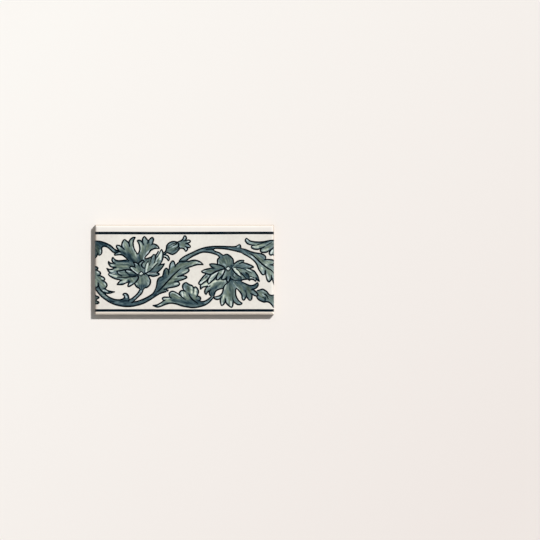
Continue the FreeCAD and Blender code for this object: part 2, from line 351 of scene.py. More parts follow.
BUDS = [
    Patch(1, 0.5, GREY, [
        (162.9, 253.2, CORNER), (164.1, 252.5), (165.6, 251.2), (166.4, 248.5), (166.8, 245.8),
        (167.9, 244.1), (169.7, 242.6), (174.1, 241.4), (178, 242.3, BARE), (180, 245, BARE),
        (180.2, 248.4, CORNER), (177.9, 250.8), (176.5, 252.3), (174.7, 253.5), (172.4, 254.4),
        (170.6, 253.9), (168.8, 253.2), (167, 252.6), (165.4, 253.9), (163.2, 255, BARE),
    ], [
        [(177, 242.3, BOLD), (175.9, 244.3), (172.9, 245.6)],
        [(178.5, 243.6, BOLD), (178.4, 245.4), (177.4, 247.4), (174.6, 248.8)],
        [(176.4, 242.6), (172.8, 243.9), (169, 246)],
        [(179, 248.2), (176, 249.7), (172.6, 250.3)],
    ], [
        (0.3, GREY, 1.2, (166.8, 251.4), (168, 247.4)),
        (0.68, BLUE, 0.7, (169.2, 244.8), (170.4, 243.8)),
        (0.66, BLUE, 0.7, (171.4, 242.9), (175, 242.5)),
        (0.6, BLUE, 0.5, (170.4, 246.4), (173, 244.9)),
        (0.78, BLUE, 0.65, (172.8, 247.2), (177.2, 245.3)),
        (0.74, BLUE, 0.6, (176.4, 249.4), (178.6, 248.5)),
        (0.44, GREY, 1.0, (168, 250.4), (172, 250.2)),
        (0.5, BLUE, 0.9, (172.4, 252), (177, 251)),
    ]),
    Patch(2, 0.5, GREY, [
        (177.6, 241.9, CORNER), (180.6, 240.8), (182.4, 239.6), (183.5, 237.6), (184.4, 235.3, TIP),
        (185.9, 236.6), (186.4, 238.4), (185.3, 240.3, NOTCH), (189.4, 240.3), (190.8, 241.2, TIP),
        (189.4, 242.4), (187.2, 243.5, NOTCH), (188.8, 244.6), (190.8, 246.5, TIP), (189.1, 247.5),
        (186.6, 247.2, NOTCH), (187.6, 249.1), (186.8, 250.5), (185.6, 251.6, TIP), (184.7, 249.7),
        (183.5, 248.6), (181.8, 248.2), (180.2, 248.5, CORNER), (178.6, 246.5), (178.4, 244),
    ], (), [
        (0.08, BLUE, 0.7, (178.6, 244), (179, 247)),
        (0.52, GREY, 0.9, (180.2, 242.6), (184.4, 242.4)),
        (0.46, SAGE, 0.9, (182, 245), (184.4, 245.6)),
        (0.78, BLUE, 0.6, (184.6, 236.8), (184.4, 239.8)),
        (0.56, GREY, 0.6, (184.8, 241.8), (187, 241.8)),
        (1.0, GREY, 0.5, (187.8, 241.4), (189, 241.4)),
        (0.72, BLUE, 0.7, (186.4, 245.6), (189, 246.4)),
        (0.84, GREY, 0.6, (185.4, 248), (186.2, 249.8)),
        (0.72, BLUE, 0.6, (179.6, 246.5), (181, 246.9)),
        (0.68, SAGE, 0.6, (182.4, 247.4), (183.8, 247.6)),
    ]),
    Patch(2, 0.8, GREY, [
        (163, 257.2, CORNER), (164.7, 257.2), (166.3, 258.1), (168.6, 261.1, TIP), (169.3, 258.6),
        (168.4, 256.6), (167.1, 255.4), (165.6, 255), (163, 254.9, BARE),
    ], (), [
        (0.97, GREY, 0.7, (163.8, 256), (166.4, 256.3), (167.6, 257.4)),
        (0.7, GREY, 0.6, (168, 257.8), (168.5, 259.4)),
    ]),
    Patch(1, 0.48, GREY, [
        (256.6, 290.6, CORNER), (258.9, 290.2), (261, 289.5), (262.8, 289.2), (264.8, 290.3),
        (266.9, 291.8), (268.4, 293.8), (270.1, 295.1), (272.6, 295.4), (276.5, 294.3, CORNER),
        (276.5, 306, CORNER), (273.6, 307.6, TIP), (272.2, 305.4), (270.4, 303.3), (268.6, 302.1),
        (266.3, 301.7), (264.2, 302), (261.6, 301.2), (258.9, 299.8), (257.2, 298), (256.5, 296, BARE),
    ], [
        [(262.4, 297.2), (264, 297.6)],
        [(264.4, 294, BOLD), (266.9, 296.2), (268.4, 299.2)],
        [(265.1, 298), (265.1, 301)],
    ], [
        (0.5, GREY, 0.9, (258.6, 291.4), (262, 290.9)),
        (0.62, GREY, 0.9, (263.2, 291.2), (266.2, 292.6)),
        (0.48, SAGE, 1.2, (260.2, 293.4), (261.8, 295.8)),
        (0.78, BLUE, 0.7, (262.6, 294.4), (264.4, 296)),
        (0.46, BLUE, 0.9, (258.4, 297.2), (261.6, 298.6)),
        (0.48, BLUE, 0.9, (261, 300), (264, 300.6)),
        (0.05, BLUE, 0.8, (265.1, 298), (265.2, 301)),
        (0.68, BLUE, 0.6, (266.6, 300.6), (267.6, 301.2)),
        (0.5, GREY, 1.2, (268.8, 297), (273.6, 298.6)),
        (0.6, GREY, 0.9, (270, 301), (272.6, 303.6)),
    ]),
]

LEFT_FLOWER = [
    Patch(1, 0.2, BLUE, [
        (131, 261, BARE), (137, 256, BARE), (143, 258, BARE), (147, 265, BARE), (148, 274, BARE),
        (141, 278, BARE), (133, 274, BARE), (129, 267, BARE),
    ]),
    Patch(2, 0.48, GREY, [
        (112.7, 257, TIP), (114.4, 259.1), (116.4, 260.4), (119.1, 260.8), (124.4, 260.2),
        (127.4, 259.9, BARE), (134, 264.5, BARE), (139, 269, BARE), (131.7, 271, BARE),
        (117.5, 272.5, BARE), (111.4, 273.3, BARE), (109.7, 272.9, CORNER), (108.6, 271.3),
        (106.6, 268.1, TIP), (108.5, 269.3), (110.8, 269.5), (113.2, 268.8), (114.4, 267.6, NOTCH),
        (111.1, 266.7), (109.6, 265.2), (108.5, 263.2), (108.5, 261, TIP), (109.6, 262.6), (111.1, 263.3),
        (113.9, 263, NOTCH), (112.6, 261.6), (112, 260), (112.3, 258.3),
    ], (), [
        (0.78, BLUE, 0.6, (113.2, 258.8), (113.6, 261)),
        (0.2, BLUE, 0.7, (117.4, 261.4), (128, 261.6)),
        (0.64, GREY, 0.7, (116.6, 263.3), (127.4, 263.3)),
        (0.34, GREY, 0.6, (117.6, 264.7), (128, 264.7)),
        (0.62, SAGE, 0.8, (114.8, 266.5), (127, 266.4)),
        (0.84, GREY, 0.7, (111.2, 264.9), (114, 265.6)),
        (0.0, BLUE, 0.6, (113.6, 267.3), (115.6, 267.2)),
        (1.0, GREY, 0.7, (109.8, 270.8), (113, 271)),
        (0.8, SAGE, 0.7, (113.4, 270), (118, 269)),
        (0.64, BLUE, 0.6, (114, 271.8), (115.4, 271.6)),
        (0.3, GREY, 1.2, (129, 265), (134, 268.4)),
    ]),
    Patch(3, 0.5, GREY, [
        (109.7, 272.9, NOTCH), (108.1, 274.3, TIP), (109.6, 275.6), (112.6, 277.6), (117, 279.2),
        (119.1, 279.6), (120.6, 280.5, NOTCH), (118.8, 282.4), (116.8, 284.6, TIP), (120.2, 284.6),
        (122.9, 284.3), (124.9, 283.3), (128.8, 281.9, NOTCH), (128.5, 283.9), (127.5, 286.5, TIP),
        (129.1, 286.4), (130.8, 285.6), (134.5, 283.3, BARE), (138.4, 277.7, BARE),
        (138.3, 274.8, CORNER), (133.8, 272.1), (131.7, 270.6), (125.3, 269.8), (121.7, 270.4),
        (117, 271.3, BARE), (114.9, 273.2), (111.4, 273.3, CORNER),
    ], [
        [(116.7, 270.8, BOLD), (118.5, 274.2), (121.8, 275.6)],
        [(125.2, 269.4, BOLD), (125.5, 271.2), (127.4, 273), (129.6, 275)],
        [(137.6, 276, BOLD), (130, 276.9), (123, 277.4), (116.8, 277.3)],
    ], [
        (0.88, BLUE, 0.55, (117.5, 271.4), (119.8, 273.6)),
        (0.58, GREY, 0.9, (120.4, 272.2), (123.6, 273.4)),
        (0.86, BLUE, 0.6, (126.6, 270.5), (130.4, 271.9)),
        (0.45, GREY, 0.8, (130.6, 272.8), (134, 274.4)),
        (0.4, GREY, 0.8, (122.4, 274.2), (126.6, 275.6)),
        (0.05, BLUE, 0.5, (118, 273.8), (121.6, 275.8)),
        (0.1, BLUE, 0.7, (126.4, 272.8), (129.8, 275.4)),
        (0.14, BLUE, 1.1, (129.6, 274.6), (136.4, 275.4)),
        (0.99, GREY, 0.6, (109.8, 274.4), (112, 275)),
        (0.96, SAGE, 0.9, (112.6, 275.3), (116.6, 276.4)),
        (0.48, BLUE, 0.6, (112.4, 273.3), (116.4, 273.7)),
        (0.62, GREY, 0.7, (117.4, 278.3), (123, 278.6)),
        (0.78, SAGE, 0.7, (122.4, 279.8), (126.8, 280.2)),
        (0.92, GREY, 0.7, (118.8, 283), (122, 282), (125.6, 281.8)),
        (0.4, SAGE, 0.6, (130, 278.8), (132, 281.6)),
        (0.66, SAGE, 0.5, (131.8, 278.4), (134, 281)),
        (0.04, BLUE, 0.8, (128.4, 280.6), (128.9, 282.4)),
        (0.86, BLUE, 0.6, (129.4, 284.6), (131.6, 283.4)),
    ]),
    Patch(3, 0.55, GREY, [
        (114.4, 255.4, TIP), (114.9, 253.8), (117, 252.6), (119.6, 251.6, NOTCH), (117.8, 249),
        (116.5, 246.8), (116.5, 245.1, TIP), (119.4, 245.6), (121.4, 247), (123.3, 248.3, NOTCH),
        (121.8, 245.5), (122.2, 243), (123.2, 240.7), (124.6, 239.2, TIP), (126.4, 240.8), (128.2, 242.3),
        (129.3, 245, NOTCH), (129.2, 241.6), (130.2, 239.7), (131.7, 238.3), (133.5, 237.4),
        (135.6, 237.3, TIP), (134.3, 239), (133.4, 241.2), (133.3, 245.5), (134.2, 248.8),
        (137.5, 254.2, BARE), (138.5, 259, BARE), (140.5, 266, BARE), (134, 264.5, BARE),
        (129.4, 261.4, CORNER), (126.1, 257.9), (124.4, 256.4), (122.6, 255.2), (119.9, 254.6),
        (117, 254.9),
    ], (), [
        (0.76, GREY, 0.8, (117.6, 246.6), (119.4, 248.4)),
        (0.66, SAGE, 1.0, (125.6, 243), (126.6, 248)),
        (0.82, BLUE, 0.6, (122.8, 242.2), (123.2, 246.8)),
        (0.56, SAGE, 1.0, (131.6, 240.4), (131.4, 247)),
        (0.5, SAGE, 1.0, (127.6, 249), (132.6, 254.6)),
        (0.82, GREY, 0.6, (132.6, 246.6), (133.6, 251)),
        (0.24, BLUE, 2.0, (121.6, 253), (130, 255.6)),
        (0.22, GREY, 1.8, (131.6, 259.6), (138.4, 263)),
        (0.12, BLUE, 1.4, (128.6, 257.2), (132.6, 261)),
        (0.76, SAGE, 0.9, (134.6, 252), (136.4, 256.4)),
        (0.78, BLUE, 0.6, (115.6, 253.6), (120, 253.4)),
    ]),
    Patch(4, 0.51, GREY, [
        (137.5, 254.2, NOTCH), (139.5, 251), (139.7, 246.8), (138.8, 243.5), (137, 240.5, TIP),
        (138.6, 240.3), (140.4, 240.5), (142.9, 243.4, NOTCH), (142.5, 240), (143, 238.2),
        (144.3, 236.2, TIP), (145.6, 237.7), (148.2, 240.9, NOTCH), (149.8, 239.2), (151.2, 238),
        (152.4, 237.6), (153.5, 239.1), (153.1, 241.5), (152.6, 243.9, NOTCH), (154.5, 244.2),
        (156.4, 245), (158.1, 246.5), (159.6, 248.7, TIP), (157.4, 248.3), (154.5, 248.5), (152.3, 249.4),
        (150.6, 250.6), (148.9, 252.9), (145.2, 257.2), (144.6, 259, BARE), (143, 263, BARE),
        (141.5, 266.5, BARE), (139.5, 260, BARE),
    ], (), [
        (0.4, GREY, 1.0, (146, 246), (144, 253)),
        (0.28, SAGE, 1.3, (139.8, 256), (142, 262)),
        (0.9, SAGE, 0.7, (140.4, 243), (141.2, 247), (140.8, 251)),
        (0.56, SAGE, 0.8, (142.8, 245.6), (142.4, 252)),
        (0.5, SAGE, 0.8, (148.6, 244.6), (146.4, 250)),
        (0.72, GREY, 0.8, (144.3, 238.2), (144.8, 241.6)),
        (0.08, BLUE, 0.6, (148.2, 240.8), (147.4, 243.4)),
        (0.74, BLUE, 0.9, (151.4, 239.4), (150.4, 243.2)),
        (0.5, BLUE, 0.9, (153, 245.6), (155.6, 246.6)),
        (1.0, GREY, 0.5, (157, 247.2), (158, 247.7)),
        (0.88, BLUE, 0.6, (148.4, 251.2), (146.2, 254), (143.8, 258.6)),
    ]),
    Patch(4, 0.5, GREY, [
        (144.6, 259, CORNER), (148, 258.2), (150.4, 257.4), (152.1, 256.3), (153.6, 254.2, TIP),
        (155.2, 255, CORNER), (156.3, 254.4), (157.4, 253.2), (158.4, 250.7, BARE),
        (159.6, 252.6, CORNER), (161.5, 249.1, TIP), (162.4, 251), (162.9, 253.4), (163, 257),
        (162.4, 259.9), (160.2, 264.4, NOTCH), (162.4, 264.4), (164.7, 263.5, TIP), (163.3, 265.8),
        (160.1, 269.9), (158.3, 271.5), (156.5, 272.8, BARE), (152, 273), (148.3, 272.8),
        (145.6, 273.6, BARE), (144.2, 268.5, BARE), (141.6, 264, BARE),
    ], [
        [(155.3, 255.4, BOLD), (155.5, 258.4), (154.3, 263.2)],
        [(159.5, 252.8), (157.6, 256.6), (156.4, 258.6)],
        [(152, 256.6), (150.9, 260.4), (150, 263)],
        [(149.5, 265.6, BOLD), (149.9, 262.6)],
        [(148.7, 260.7), (146.6, 263.2), (145.2, 266.8), (144.3, 272.6)],
        [(146.5, 273.1, BOLD), (151.1, 270.3), (154, 267), (157.9, 263.1)],
        [(160.4, 264.5, BOLD), (157.6, 266.4)],
    ], [
        (0.34, BLUE, 1.8, (152.4, 271), (158.6, 268.6)),
        (0.16, BLUE, 0.6, (150.6, 272.4), (156, 272.4)),
        (0.64, GREY, 0.6, (161, 267), (162.8, 265.2)),
        (0.9, BLUE, 0.4, (158.8, 252.2), (157.6, 254.8)),
        (0.98, SAGE, 0.7, (159.8, 254.6), (158.6, 259)),
        (1.0, GREY, 0.9, (161.3, 251.6), (161, 255), (160.4, 259.6)),
        (0.88, BLUE, 0.5, (158, 256.8), (156, 261.2)),
        (0.4, SAGE, 0.4, (159.2, 258), (157.4, 261.6)),
        (0.92, GREY, 0.45, (156.4, 262.4), (151.8, 267.2)),
        (0.62, BLUE, 0.8, (153.4, 256.6), (152.6, 263)),
        (0.6, GREY, 0.8, (151.4, 264.4), (148.8, 269.6)),
        (0.4, GREY, 0.7, (149.6, 259), (146.6, 260)),
        (0.5, SAGE, 0.5, (148.8, 266.4), (148, 270.6)),
        (1.0, GREY, 0.75, (147.5, 263.4), (146.2, 271.6)),
        (0.75, GREY, 0.7, (144.2, 263.6), (143.8, 266)),
    ]),
    Patch(5, 0.5, GREY, [
        (129.4, 267.5, TIP), (132, 266.3), (134.5, 266.9, NOTCH), (134.7, 264.8), (133.1, 262.1, TIP),
        (136.4, 262.8), (138.6, 264.4, NOTCH), (139.3, 262.6), (140.8, 261.4), (142.4, 260.4),
        (144.7, 261.5, TIP), (142.5, 263), (141.6, 265), (142.3, 267), (144.6, 268.5, BARE),
        (144.3, 272.5, BARE), (141.3, 274, BARE), (138.1, 274.7, CORNER), (136.2, 273.7), (133.2, 271.6),
        (131.6, 270.1),
    ], (), [
        (0.36, GREY, 1.2, (139.6, 266), (140.4, 270.4)),
        (0.66, SAGE, 0.8, (134.6, 267.8), (138.2, 271.8)),
        (0.92, GREY, 0.6, (131.4, 267.8), (134, 270.8), (137.4, 273.2)),
        (0.74, BLUE, 0.6, (134.9, 263.4), (136.6, 264.6)),
        (0.7, GREY, 0.6, (140.2, 263.4), (141.6, 261.8)),
    ]),
    Patch(5, 0.5, GREY, [
        (145.6, 273.6, BARE), (148.3, 273), (152.3, 273.4), (156.5, 273, CORNER), (158.4, 273.3),
        (159.8, 274.2, TIP), (158, 275.2), (155.9, 275.8), (153, 276.3), (150.4, 275.6), (148, 275),
    ], (), [
        (0.84, GREY, 0.6, (147.6, 273.8), (149.4, 274.2)),
        (0.6, GREY, 0.7, (150, 274.4), (156.4, 274.2)),
        (0.44, GREY, 0.5, (151, 275.4), (156, 275.1)),
        (0.04, BLUE, 0.6, (158.4, 274.2), (159.4, 274.3)),
    ]),
    Patch(6, 0.5, GREY, [
        (138.2, 275, CORNER), (138.4, 277.7), (137.7, 279.8), (136.2, 281.5), (134.5, 283.3, CORNER),
        (135.6, 285.4), (137.1, 287), (138.9, 288), (140.1, 289, BARE), (143.5, 289.3, CORNER),
        (145.1, 287.8), (146.8, 287.4), (148.3, 286.4), (149.8, 284.5), (150.5, 282.1), (150.4, 280.1),
        (149.2, 277.7), (148.2, 275.4), (145.6, 273.6, BARE), (143, 272.6, BARE), (140, 272.6, BARE),
    ], (), [
        (0.56, SAGE, 1.4, (139, 279), (141.4, 283)),
        (0.36, GREY, 0.8, (142, 279), (142, 285)),
        (0.56, GREY, 0.9, (144, 277), (144.6, 282)),
        (0.62, SAGE, 0.7, (146.4, 277.6), (146.6, 279.6)),
        (0.72, GREY, 0.8, (148, 277.6), (149, 281), (148, 285)),
        (0.82, SAGE, 0.7, (136, 283.2), (137.2, 284)),
        (0.3, BLUE, 1.2, (140, 286), (145.4, 286)),
        (0.2, BLUE, 0.9, (141.8, 287.4), (141.8, 289.6)),
    ]),
    Patch(7, 0.94, SAGE, [
        (141.4, 271.3, CORNER), (143.7, 273.5, CORNER), (141.1, 276.2, CORNER), (138.6, 273.9, CORNER),
    ], [
        [(143.6, 274.6, BOLD), (145.6, 273.5), (147.9, 272.4)],
    ], [
        (0.6, SAGE, 0.6, (141, 274.6), (141.8, 274.2)),
    ]),
]

RIGHT_FLOWER = [
    Patch(1, 0.2, BLUE, [
        (219, 266, BARE), (236, 266, BARE), (240, 276, BARE), (236, 286, BARE), (228, 288, BARE),
        (221, 284, BARE),
    ]),
    Patch(2, 0.55, GREY, [
        (200.6, 284.7, CORNER), (200.3, 287), (200.5, 289.6, TIP), (201.9, 287.9), (203.6, 286.9),
        (205.7, 286.5), (208.8, 286.3, NOTCH), (206.7, 287.3), (205.4, 289.1), (204.7, 291.5),
        (205, 293.2), (206.2, 294.8, TIP), (207.2, 292.6), (208.4, 291.2), (209.7, 290.8, NOTCH),
        (209.2, 292.9), (209.8, 294.7), (211.4, 296.6, BARE), (213.8, 297, CORNER), (214.8, 293.3),
        (215.3, 291.8), (216.6, 290.4), (218.6, 289.4), (223.3, 288.2, BARE), (226, 284.5, BARE),
        (228, 282.5, BARE), (222, 277, BARE), (212, 277, BARE), (205, 281, BARE),
    ], (), [
        (0.96, SAGE, 1.2, (202.4, 285.4), (206.6, 284)),
        (0.82, SAGE, 0.9, (209.6, 287.4), (213.6, 284.6)),
        (0.9, SAGE, 0.9, (208.6, 285.4), (213, 282), (217, 280.6)),
        (0.88, SAGE, 0.7, (217.6, 280.8), (225, 281)),
        (0.6, GREY, 0.8, (220, 282.6), (225, 282.6)),
        (0.38, GREY, 1.4, (215, 285.6), (221, 283.6)),
        (0.26, BLUE, 1.3, (211.8, 289), (217, 287)),
        (0.6, GREY, 0.9, (218.6, 287.6), (223, 285.6)),
        (0.62, SAGE, 0.8, (206, 291.4), (207.4, 288.6)),
        (0.22, BLUE, 1.3, (210.6, 291), (211.6, 294.4)),
        (0.24, BLUE, 0.9, (213.6, 291), (213.6, 295.4)),
    ]),
    Patch(2, 0.55, GREY, [
        (227.5, 282.8, CORNER), (224.8, 285.2), (223.6, 287.4), (223.1, 290), (222.3, 292.8),
        (220.5, 295), (218.1, 296.2), (213.1, 297.2, TIP), (214.2, 298.3), (216, 299.3), (218.1, 299.4),
        (220.5, 298.4, NOTCH), (220.3, 300.9), (221.5, 305.9, TIP), (223.1, 304.7), (224.5, 303.2),
        (225.5, 300.8, NOTCH), (226.3, 302.9), (228.1, 305), (231.6, 307.7, TIP), (232.6, 305.9),
        (233.1, 303.5), (233.5, 301.2, NOTCH), (235, 302.8), (236.6, 304), (238.4, 304.6), (240.4, 304.5),
        (242.5, 303.4, TIP), (238.9, 300.9), (237.2, 298.6), (236, 295.9), (235.6, 293), (235.7, 290),
        (236.4, 288, BARE), (233, 284.5, BARE), (231, 281, BARE),
    ], [
        [(225.5, 300.8), (225.4, 298)],
        [(233.5, 301.2), (232.4, 298)],
        [(220.5, 298.4), (222, 296)],
    ], [
        (0.58, GREY, 1.0, (227.4, 285.4), (227.6, 290)),
        (0.8, SAGE, 0.8, (226, 285.4), (224.6, 290)),
        (0.3, GREY, 1.4, (229.8, 283), (230.8, 290.6)),
        (0.56, GREY, 0.8, (224.4, 291), (224.6, 294)),
        (0.55, BLUE, 0.8, (215, 298.4), (220, 298.2)),
        (0.78, BLUE, 0.45, (216, 297.7), (219.6, 297.5)),
        (0.88, SAGE, 1.1, (224.4, 295.6), (222.8, 299.6), (222.2, 302.4)),
        (1.0, GREY, 0.5, (222.2, 303), (222.3, 304)),
        (0.48, SAGE, 1.2, (227.6, 291.4), (229.6, 296)),
        (0.8, GREY, 1.0, (227, 297.6), (227.6, 302.4)),
        (0.5, SAGE, 0.6, (229, 298.6), (229.4, 303.4)),
        (0.94, GREY, 0.6, (231, 301.4), (231.2, 305.2)),
        (0.28, GREY, 1.3, (231.8, 290.6), (233, 297.6)),
        (0.46, BLUE, 1.0, (235.2, 299.4), (237.4, 302.2)),
        (0.56, BLUE, 0.6, (237.8, 303), (240, 303.4)),
    ]),
    Patch(3, 0.44, GREY, [
        (241.2, 281.6, CORNER), (245.7, 283.8), (248.1, 284.9), (251, 285.6), (253.9, 285), (256, 283.7),
        (257.5, 282.2, TIP), (258.2, 284.4), (257.6, 286.2), (256.3, 287.8), (253, 289.4, NOTCH),
        (255.1, 290.9), (256.9, 293), (257.9, 294.7), (257.4, 295.8), (256.4, 296), (251.8, 294.3, NOTCH),
        (252, 296.8), (251.6, 298.9), (250.2, 300.7, TIP), (248.6, 299.2), (247.2, 297.4),
        (246.3, 295.9, NOTCH), (245.4, 298), (244.2, 299.8), (242.8, 300.3, TIP), (242.2, 298.3),
        (241.9, 295.4), (240.7, 292.9), (238.9, 290.5), (236.4, 288, BARE), (233, 284, BARE),
        (231, 279, BARE),
    ], [
        [(251.8, 294.3), (250.8, 293)],
        [(246.3, 295.9), (246.1, 293.5), (245.8, 290)],
    ], [
        (0.7, SAGE, 0.8, (233.4, 283.2), (236.4, 286.8)),
        (0.32, BLUE, 1.3, (237.6, 282.4), (243, 284.6)),
        (0.26, BLUE, 1.2, (243.8, 286.8), (246, 291.6)),
        (0.48, SAGE, 1.0, (240.4, 288), (242.4, 292)),
        (0.94, GREY, 0.6, (237.4, 287.6), (239.8, 290.6)),
        (0.56, GREY, 0.6, (243, 284.7), (247.6, 288.2)),
        (0.38, SAGE, 1.4, (248, 287.4), (249.4, 292)),
        (0.42, BLUE, 1.0, (251, 286.6), (254, 287.6)),
        (0.64, BLUE, 0.8, (252.4, 291.6), (255.2, 293.8)),
        (0.86, BLUE, 0.5, (255.6, 294.2), (256.6, 294.8)),
        (0.56, BLUE, 0.8, (242.8, 294), (243.4, 296.6)),
        (0.84, BLUE, 0.5, (243.3, 297.4), (243.5, 298.6)),
        (0.46, GREY, 0.9, (248.4, 295), (250, 298.6)),
        (0.38, BLUE, 0.9, (254, 286.4), (257, 284)),
        (0.04, BLUE, 0.9, (253.2, 289), (255.2, 290.4)),
    ]),
    Patch(3, 0.62, GREY, [
        (225.2, 268.8, CORNER), (221.9, 269.6), (217.2, 271.2), (213.1, 273.3), (209.2, 274.5),
        (206.5, 273.5, CORNER), (204.6, 275.2), (202.8, 277.1), (199.8, 281.2), (198.8, 282.8),
        (198.5, 283.9, TIP), (199.8, 284.5), (201, 284.5), (203.9, 282.4), (207.5, 279.7),
        (209.9, 276.6, NOTCH), (207.8, 280.3), (207.5, 281.8), (208.5, 283.9, TIP), (210.4, 282.6),
        (213.6, 279.7), (217.7, 273.9, NOTCH), (216.5, 277), (216.4, 279), (216.6, 280.4, TIP),
        (218.4, 279.4), (221, 277.1), (222.5, 275.3), (224.7, 270.8),
    ], [
        [(205.2, 277.4), (208, 276)],
        [(210, 276.3, BOLD), (208.5, 278), (206, 280.4)],
        [(217.6, 273, BOLD), (217.4, 275), (215.5, 278)],
    ], [
        (0.8, BLUE, 0.5, (206, 275), (207, 274.6)),
        (0.62, SAGE, 0.8, (203, 279.8), (207, 278.2)),
        (0.86, BLUE, 0.5, (207.6, 276.4), (208.8, 275.8)),
        (0.94, GREY, 0.7, (200.8, 283), (204, 280.6), (207.2, 279.2)),
        (0.74, SAGE, 0.7, (211, 279.4), (214.6, 275.6)),
        (0.96, GREY, 0.7, (209.1, 281.6), (210.2, 278.2), (213, 275.2), (217, 272.6)),
        (0.84, BLUE, 0.5, (208.8, 282.8), (209.6, 282.2)),
        (0.6, BLUE, 0.6, (212.4, 280), (215, 277.4)),
        (0.68, SAGE, 1.1, (218.6, 275), (221, 271.6)),
        (0.4, SAGE, 0.4, (219.4, 273), (220.6, 274.4)),
        (1.0, GREY, 0.6, (223.6, 270), (222.2, 273.8)),
        (0.68, BLUE, 0.8, (216.8, 279), (219.6, 277)),
    ]),
    Patch(4, 0.46, GREY, [
        (225.2, 269, CORNER), (224.5, 271.8), (223.4, 274.2), (222.2, 277), (221.5, 279.6, TIP),
        (223.1, 279.8), (224.8, 279.1), (226.4, 278, NOTCH), (226.6, 280), (227.8, 282.9, TIP),
        (228.9, 281.5), (229.6, 280), (230.4, 277.7, NOTCH), (232.2, 279.5), (234.2, 280.2, BARE),
        (241.2, 281.3, BARE), (241.3, 277.3, BARE), (236.9, 274.5, BARE), (232.8, 269.8, BARE),
        (231.3, 268.2, BARE),
    ], [
        [(233.4, 273), (233.2, 276.3), (235.5, 278)],
        [(234.2, 280.2), (237.4, 280.5), (241, 281.3)],
    ], [
        (0.72, GREY, 1.0, (223, 278), (224.6, 274.6), (225.6, 272)),
        (0.44, GREY, 1.4, (228, 272.4), (230, 276)),
        (0.44, BLUE, 1.1, (228.4, 276.6), (228.6, 279.4)),
        (0.74, BLUE, 0.5, (228.4, 279.4), (228.4, 280.6)),
        (0.26, BLUE, 0.9, (231.6, 270.6), (232.2, 275.6)),
        (0.66, BLUE, 0.8, (234, 273.4), (234.6, 276.2)),
        (0.48, GREY, 0.8, (234.6, 276.6), (237.4, 277.4)),
        (0.44, GREY, 0.7, (232.4, 279), (237, 279.4)),
        (0.2, BLUE, 0.9, (238.4, 279), (240.6, 280.4)),
    ]),
    Patch(5, 0.42, GREY, [
        (225, 268, CORNER), (222.5, 266.1), (220.1, 265.1), (217.8, 264.5), (211.9, 263.8),
        (209.3, 264.1, TIP), (210.7, 265.9), (212.7, 267.8, NOTCH), (207.2, 269), (204.8, 269.7),
        (201.2, 271.3, TIP), (202.8, 272.4), (206.5, 273.5, NOTCH), (209.2, 274.4), (211.3, 274.2),
        (214.8, 271.9), (219.5, 270.2), (224.5, 268.6),
    ], (), [
        (0.48, GREY, 1.0, (214, 266.4), (222, 267.2)),
        (0.64, GREY, 0.6, (211.2, 265.2), (216, 265.6)),
        (0.4, BLUE, 0.9, (214, 269.8), (222, 268.4)),
        (0.06, BLUE, 0.9, (211.8, 267.4), (213.4, 268.2)),
        (0.84, GREY, 0.6, (202.6, 271.3), (206, 270.5)),
        (0.5, SAGE, 0.9, (206.6, 271.3), (213.4, 271)),
        (0.62, GREY, 0.5, (206.6, 273), (211.6, 272.8)),
    ]),
    Patch(5, 0.54, GREY, [
        (231.5, 267.5, CORNER), (233.9, 264.2), (235.4, 262.9), (237.5, 261.4), (239.8, 260.5),
        (244.2, 260.3, TIP), (243, 262.4, NOTCH), (247.5, 263.9), (251.9, 265.8), (254, 267.2, TIP),
        (251.6, 267.7), (249, 268.3, NOTCH), (251.6, 269.8), (254.2, 271.2), (255.7, 273), (258.1, 277.1),
        (258.7, 279.4), (259.7, 281.6, TIP), (257.6, 280.2), (256.2, 278.8, NOTCH), (255.7, 281.7, TIP),
        (254.3, 280), (252.5, 279.2), (250.7, 279.3), (249.4, 280.8, TIP), (248.6, 279.4), (245.1, 279.3),
        (242.8, 279.6), (241, 281.3, CORNER), (241.2, 277.2, CORNER), (236.9, 274.5), (234.5, 272.2),
        (232.8, 269.8),
    ], [
        [(233.9, 267.3), (236.9, 267.3), (242.8, 268.6), (248.4, 271.3), (252, 273.4)],
        [(236.2, 268.8), (239, 271.2), (241.2, 275.8)],
        [(238.9, 263.6), (240.4, 263.2), (242.8, 262.8)],
        [(245.4, 272.3, BOLD), (248.6, 274.9), (249.4, 279)],
        [(240.4, 272.4, BOLD), (242.8, 275.1), (246.8, 279)],
        [(250, 276.2), (253.6, 277.8), (256, 279)],
    ], [
        (0.76, BLUE, 0.6, (235, 264), (237, 262.8)),
        (0.54, GREY, 0.7, (238, 261.6), (242, 261.2)),
        (0.36, BLUE, 1.1, (237, 265.6), (241, 265.2)),
        (0.52, BLUE, 0.9, (241.6, 265.4), (246, 265.4)),
        (0.72, BLUE, 0.7, (246.6, 265.8), (250.6, 266.4)),
        (0.3, BLUE, 0.9, (237, 267.6), (245.4, 268.2)),
        (1.0, GREY, 0.5, (234, 268.4), (234.8, 268.9)),
        (1.0, SAGE, 1.15, (235.2, 269.8), (237.4, 271.8), (239.8, 274.6)),
        (0.5, SAGE, 0.7, (239.4, 269.8), (241.4, 270.8)),
        (0.6, GREY, 0.6, (242, 271), (244, 272.6)),
        (0.26, BLUE, 1.1, (243.2, 273.4), (246.4, 276.6)),
        (0.94, GREY, 0.6, (247, 269.5), (251.6, 271.3)),
        (0.66, GREY, 1.0, (251.6, 272.8), (255.4, 276.6)),
        (0.14, BLUE, 1.0, (246.4, 274.6), (248.8, 277.6)),
        (0.6, GREY, 0.5, (241.8, 277.4), (245.4, 278.2)),
        (1.0, GREY, 0.65, (250.8, 277), (252.4, 277.8)),
        (0.9, GREY, 0.5, (254, 278.6), (255.2, 279.2)),
        (0.02, BLUE, 0.8, (256.6, 278.6), (258.4, 280)),
    ]),
    Patch(6, 0.46, GREY, [
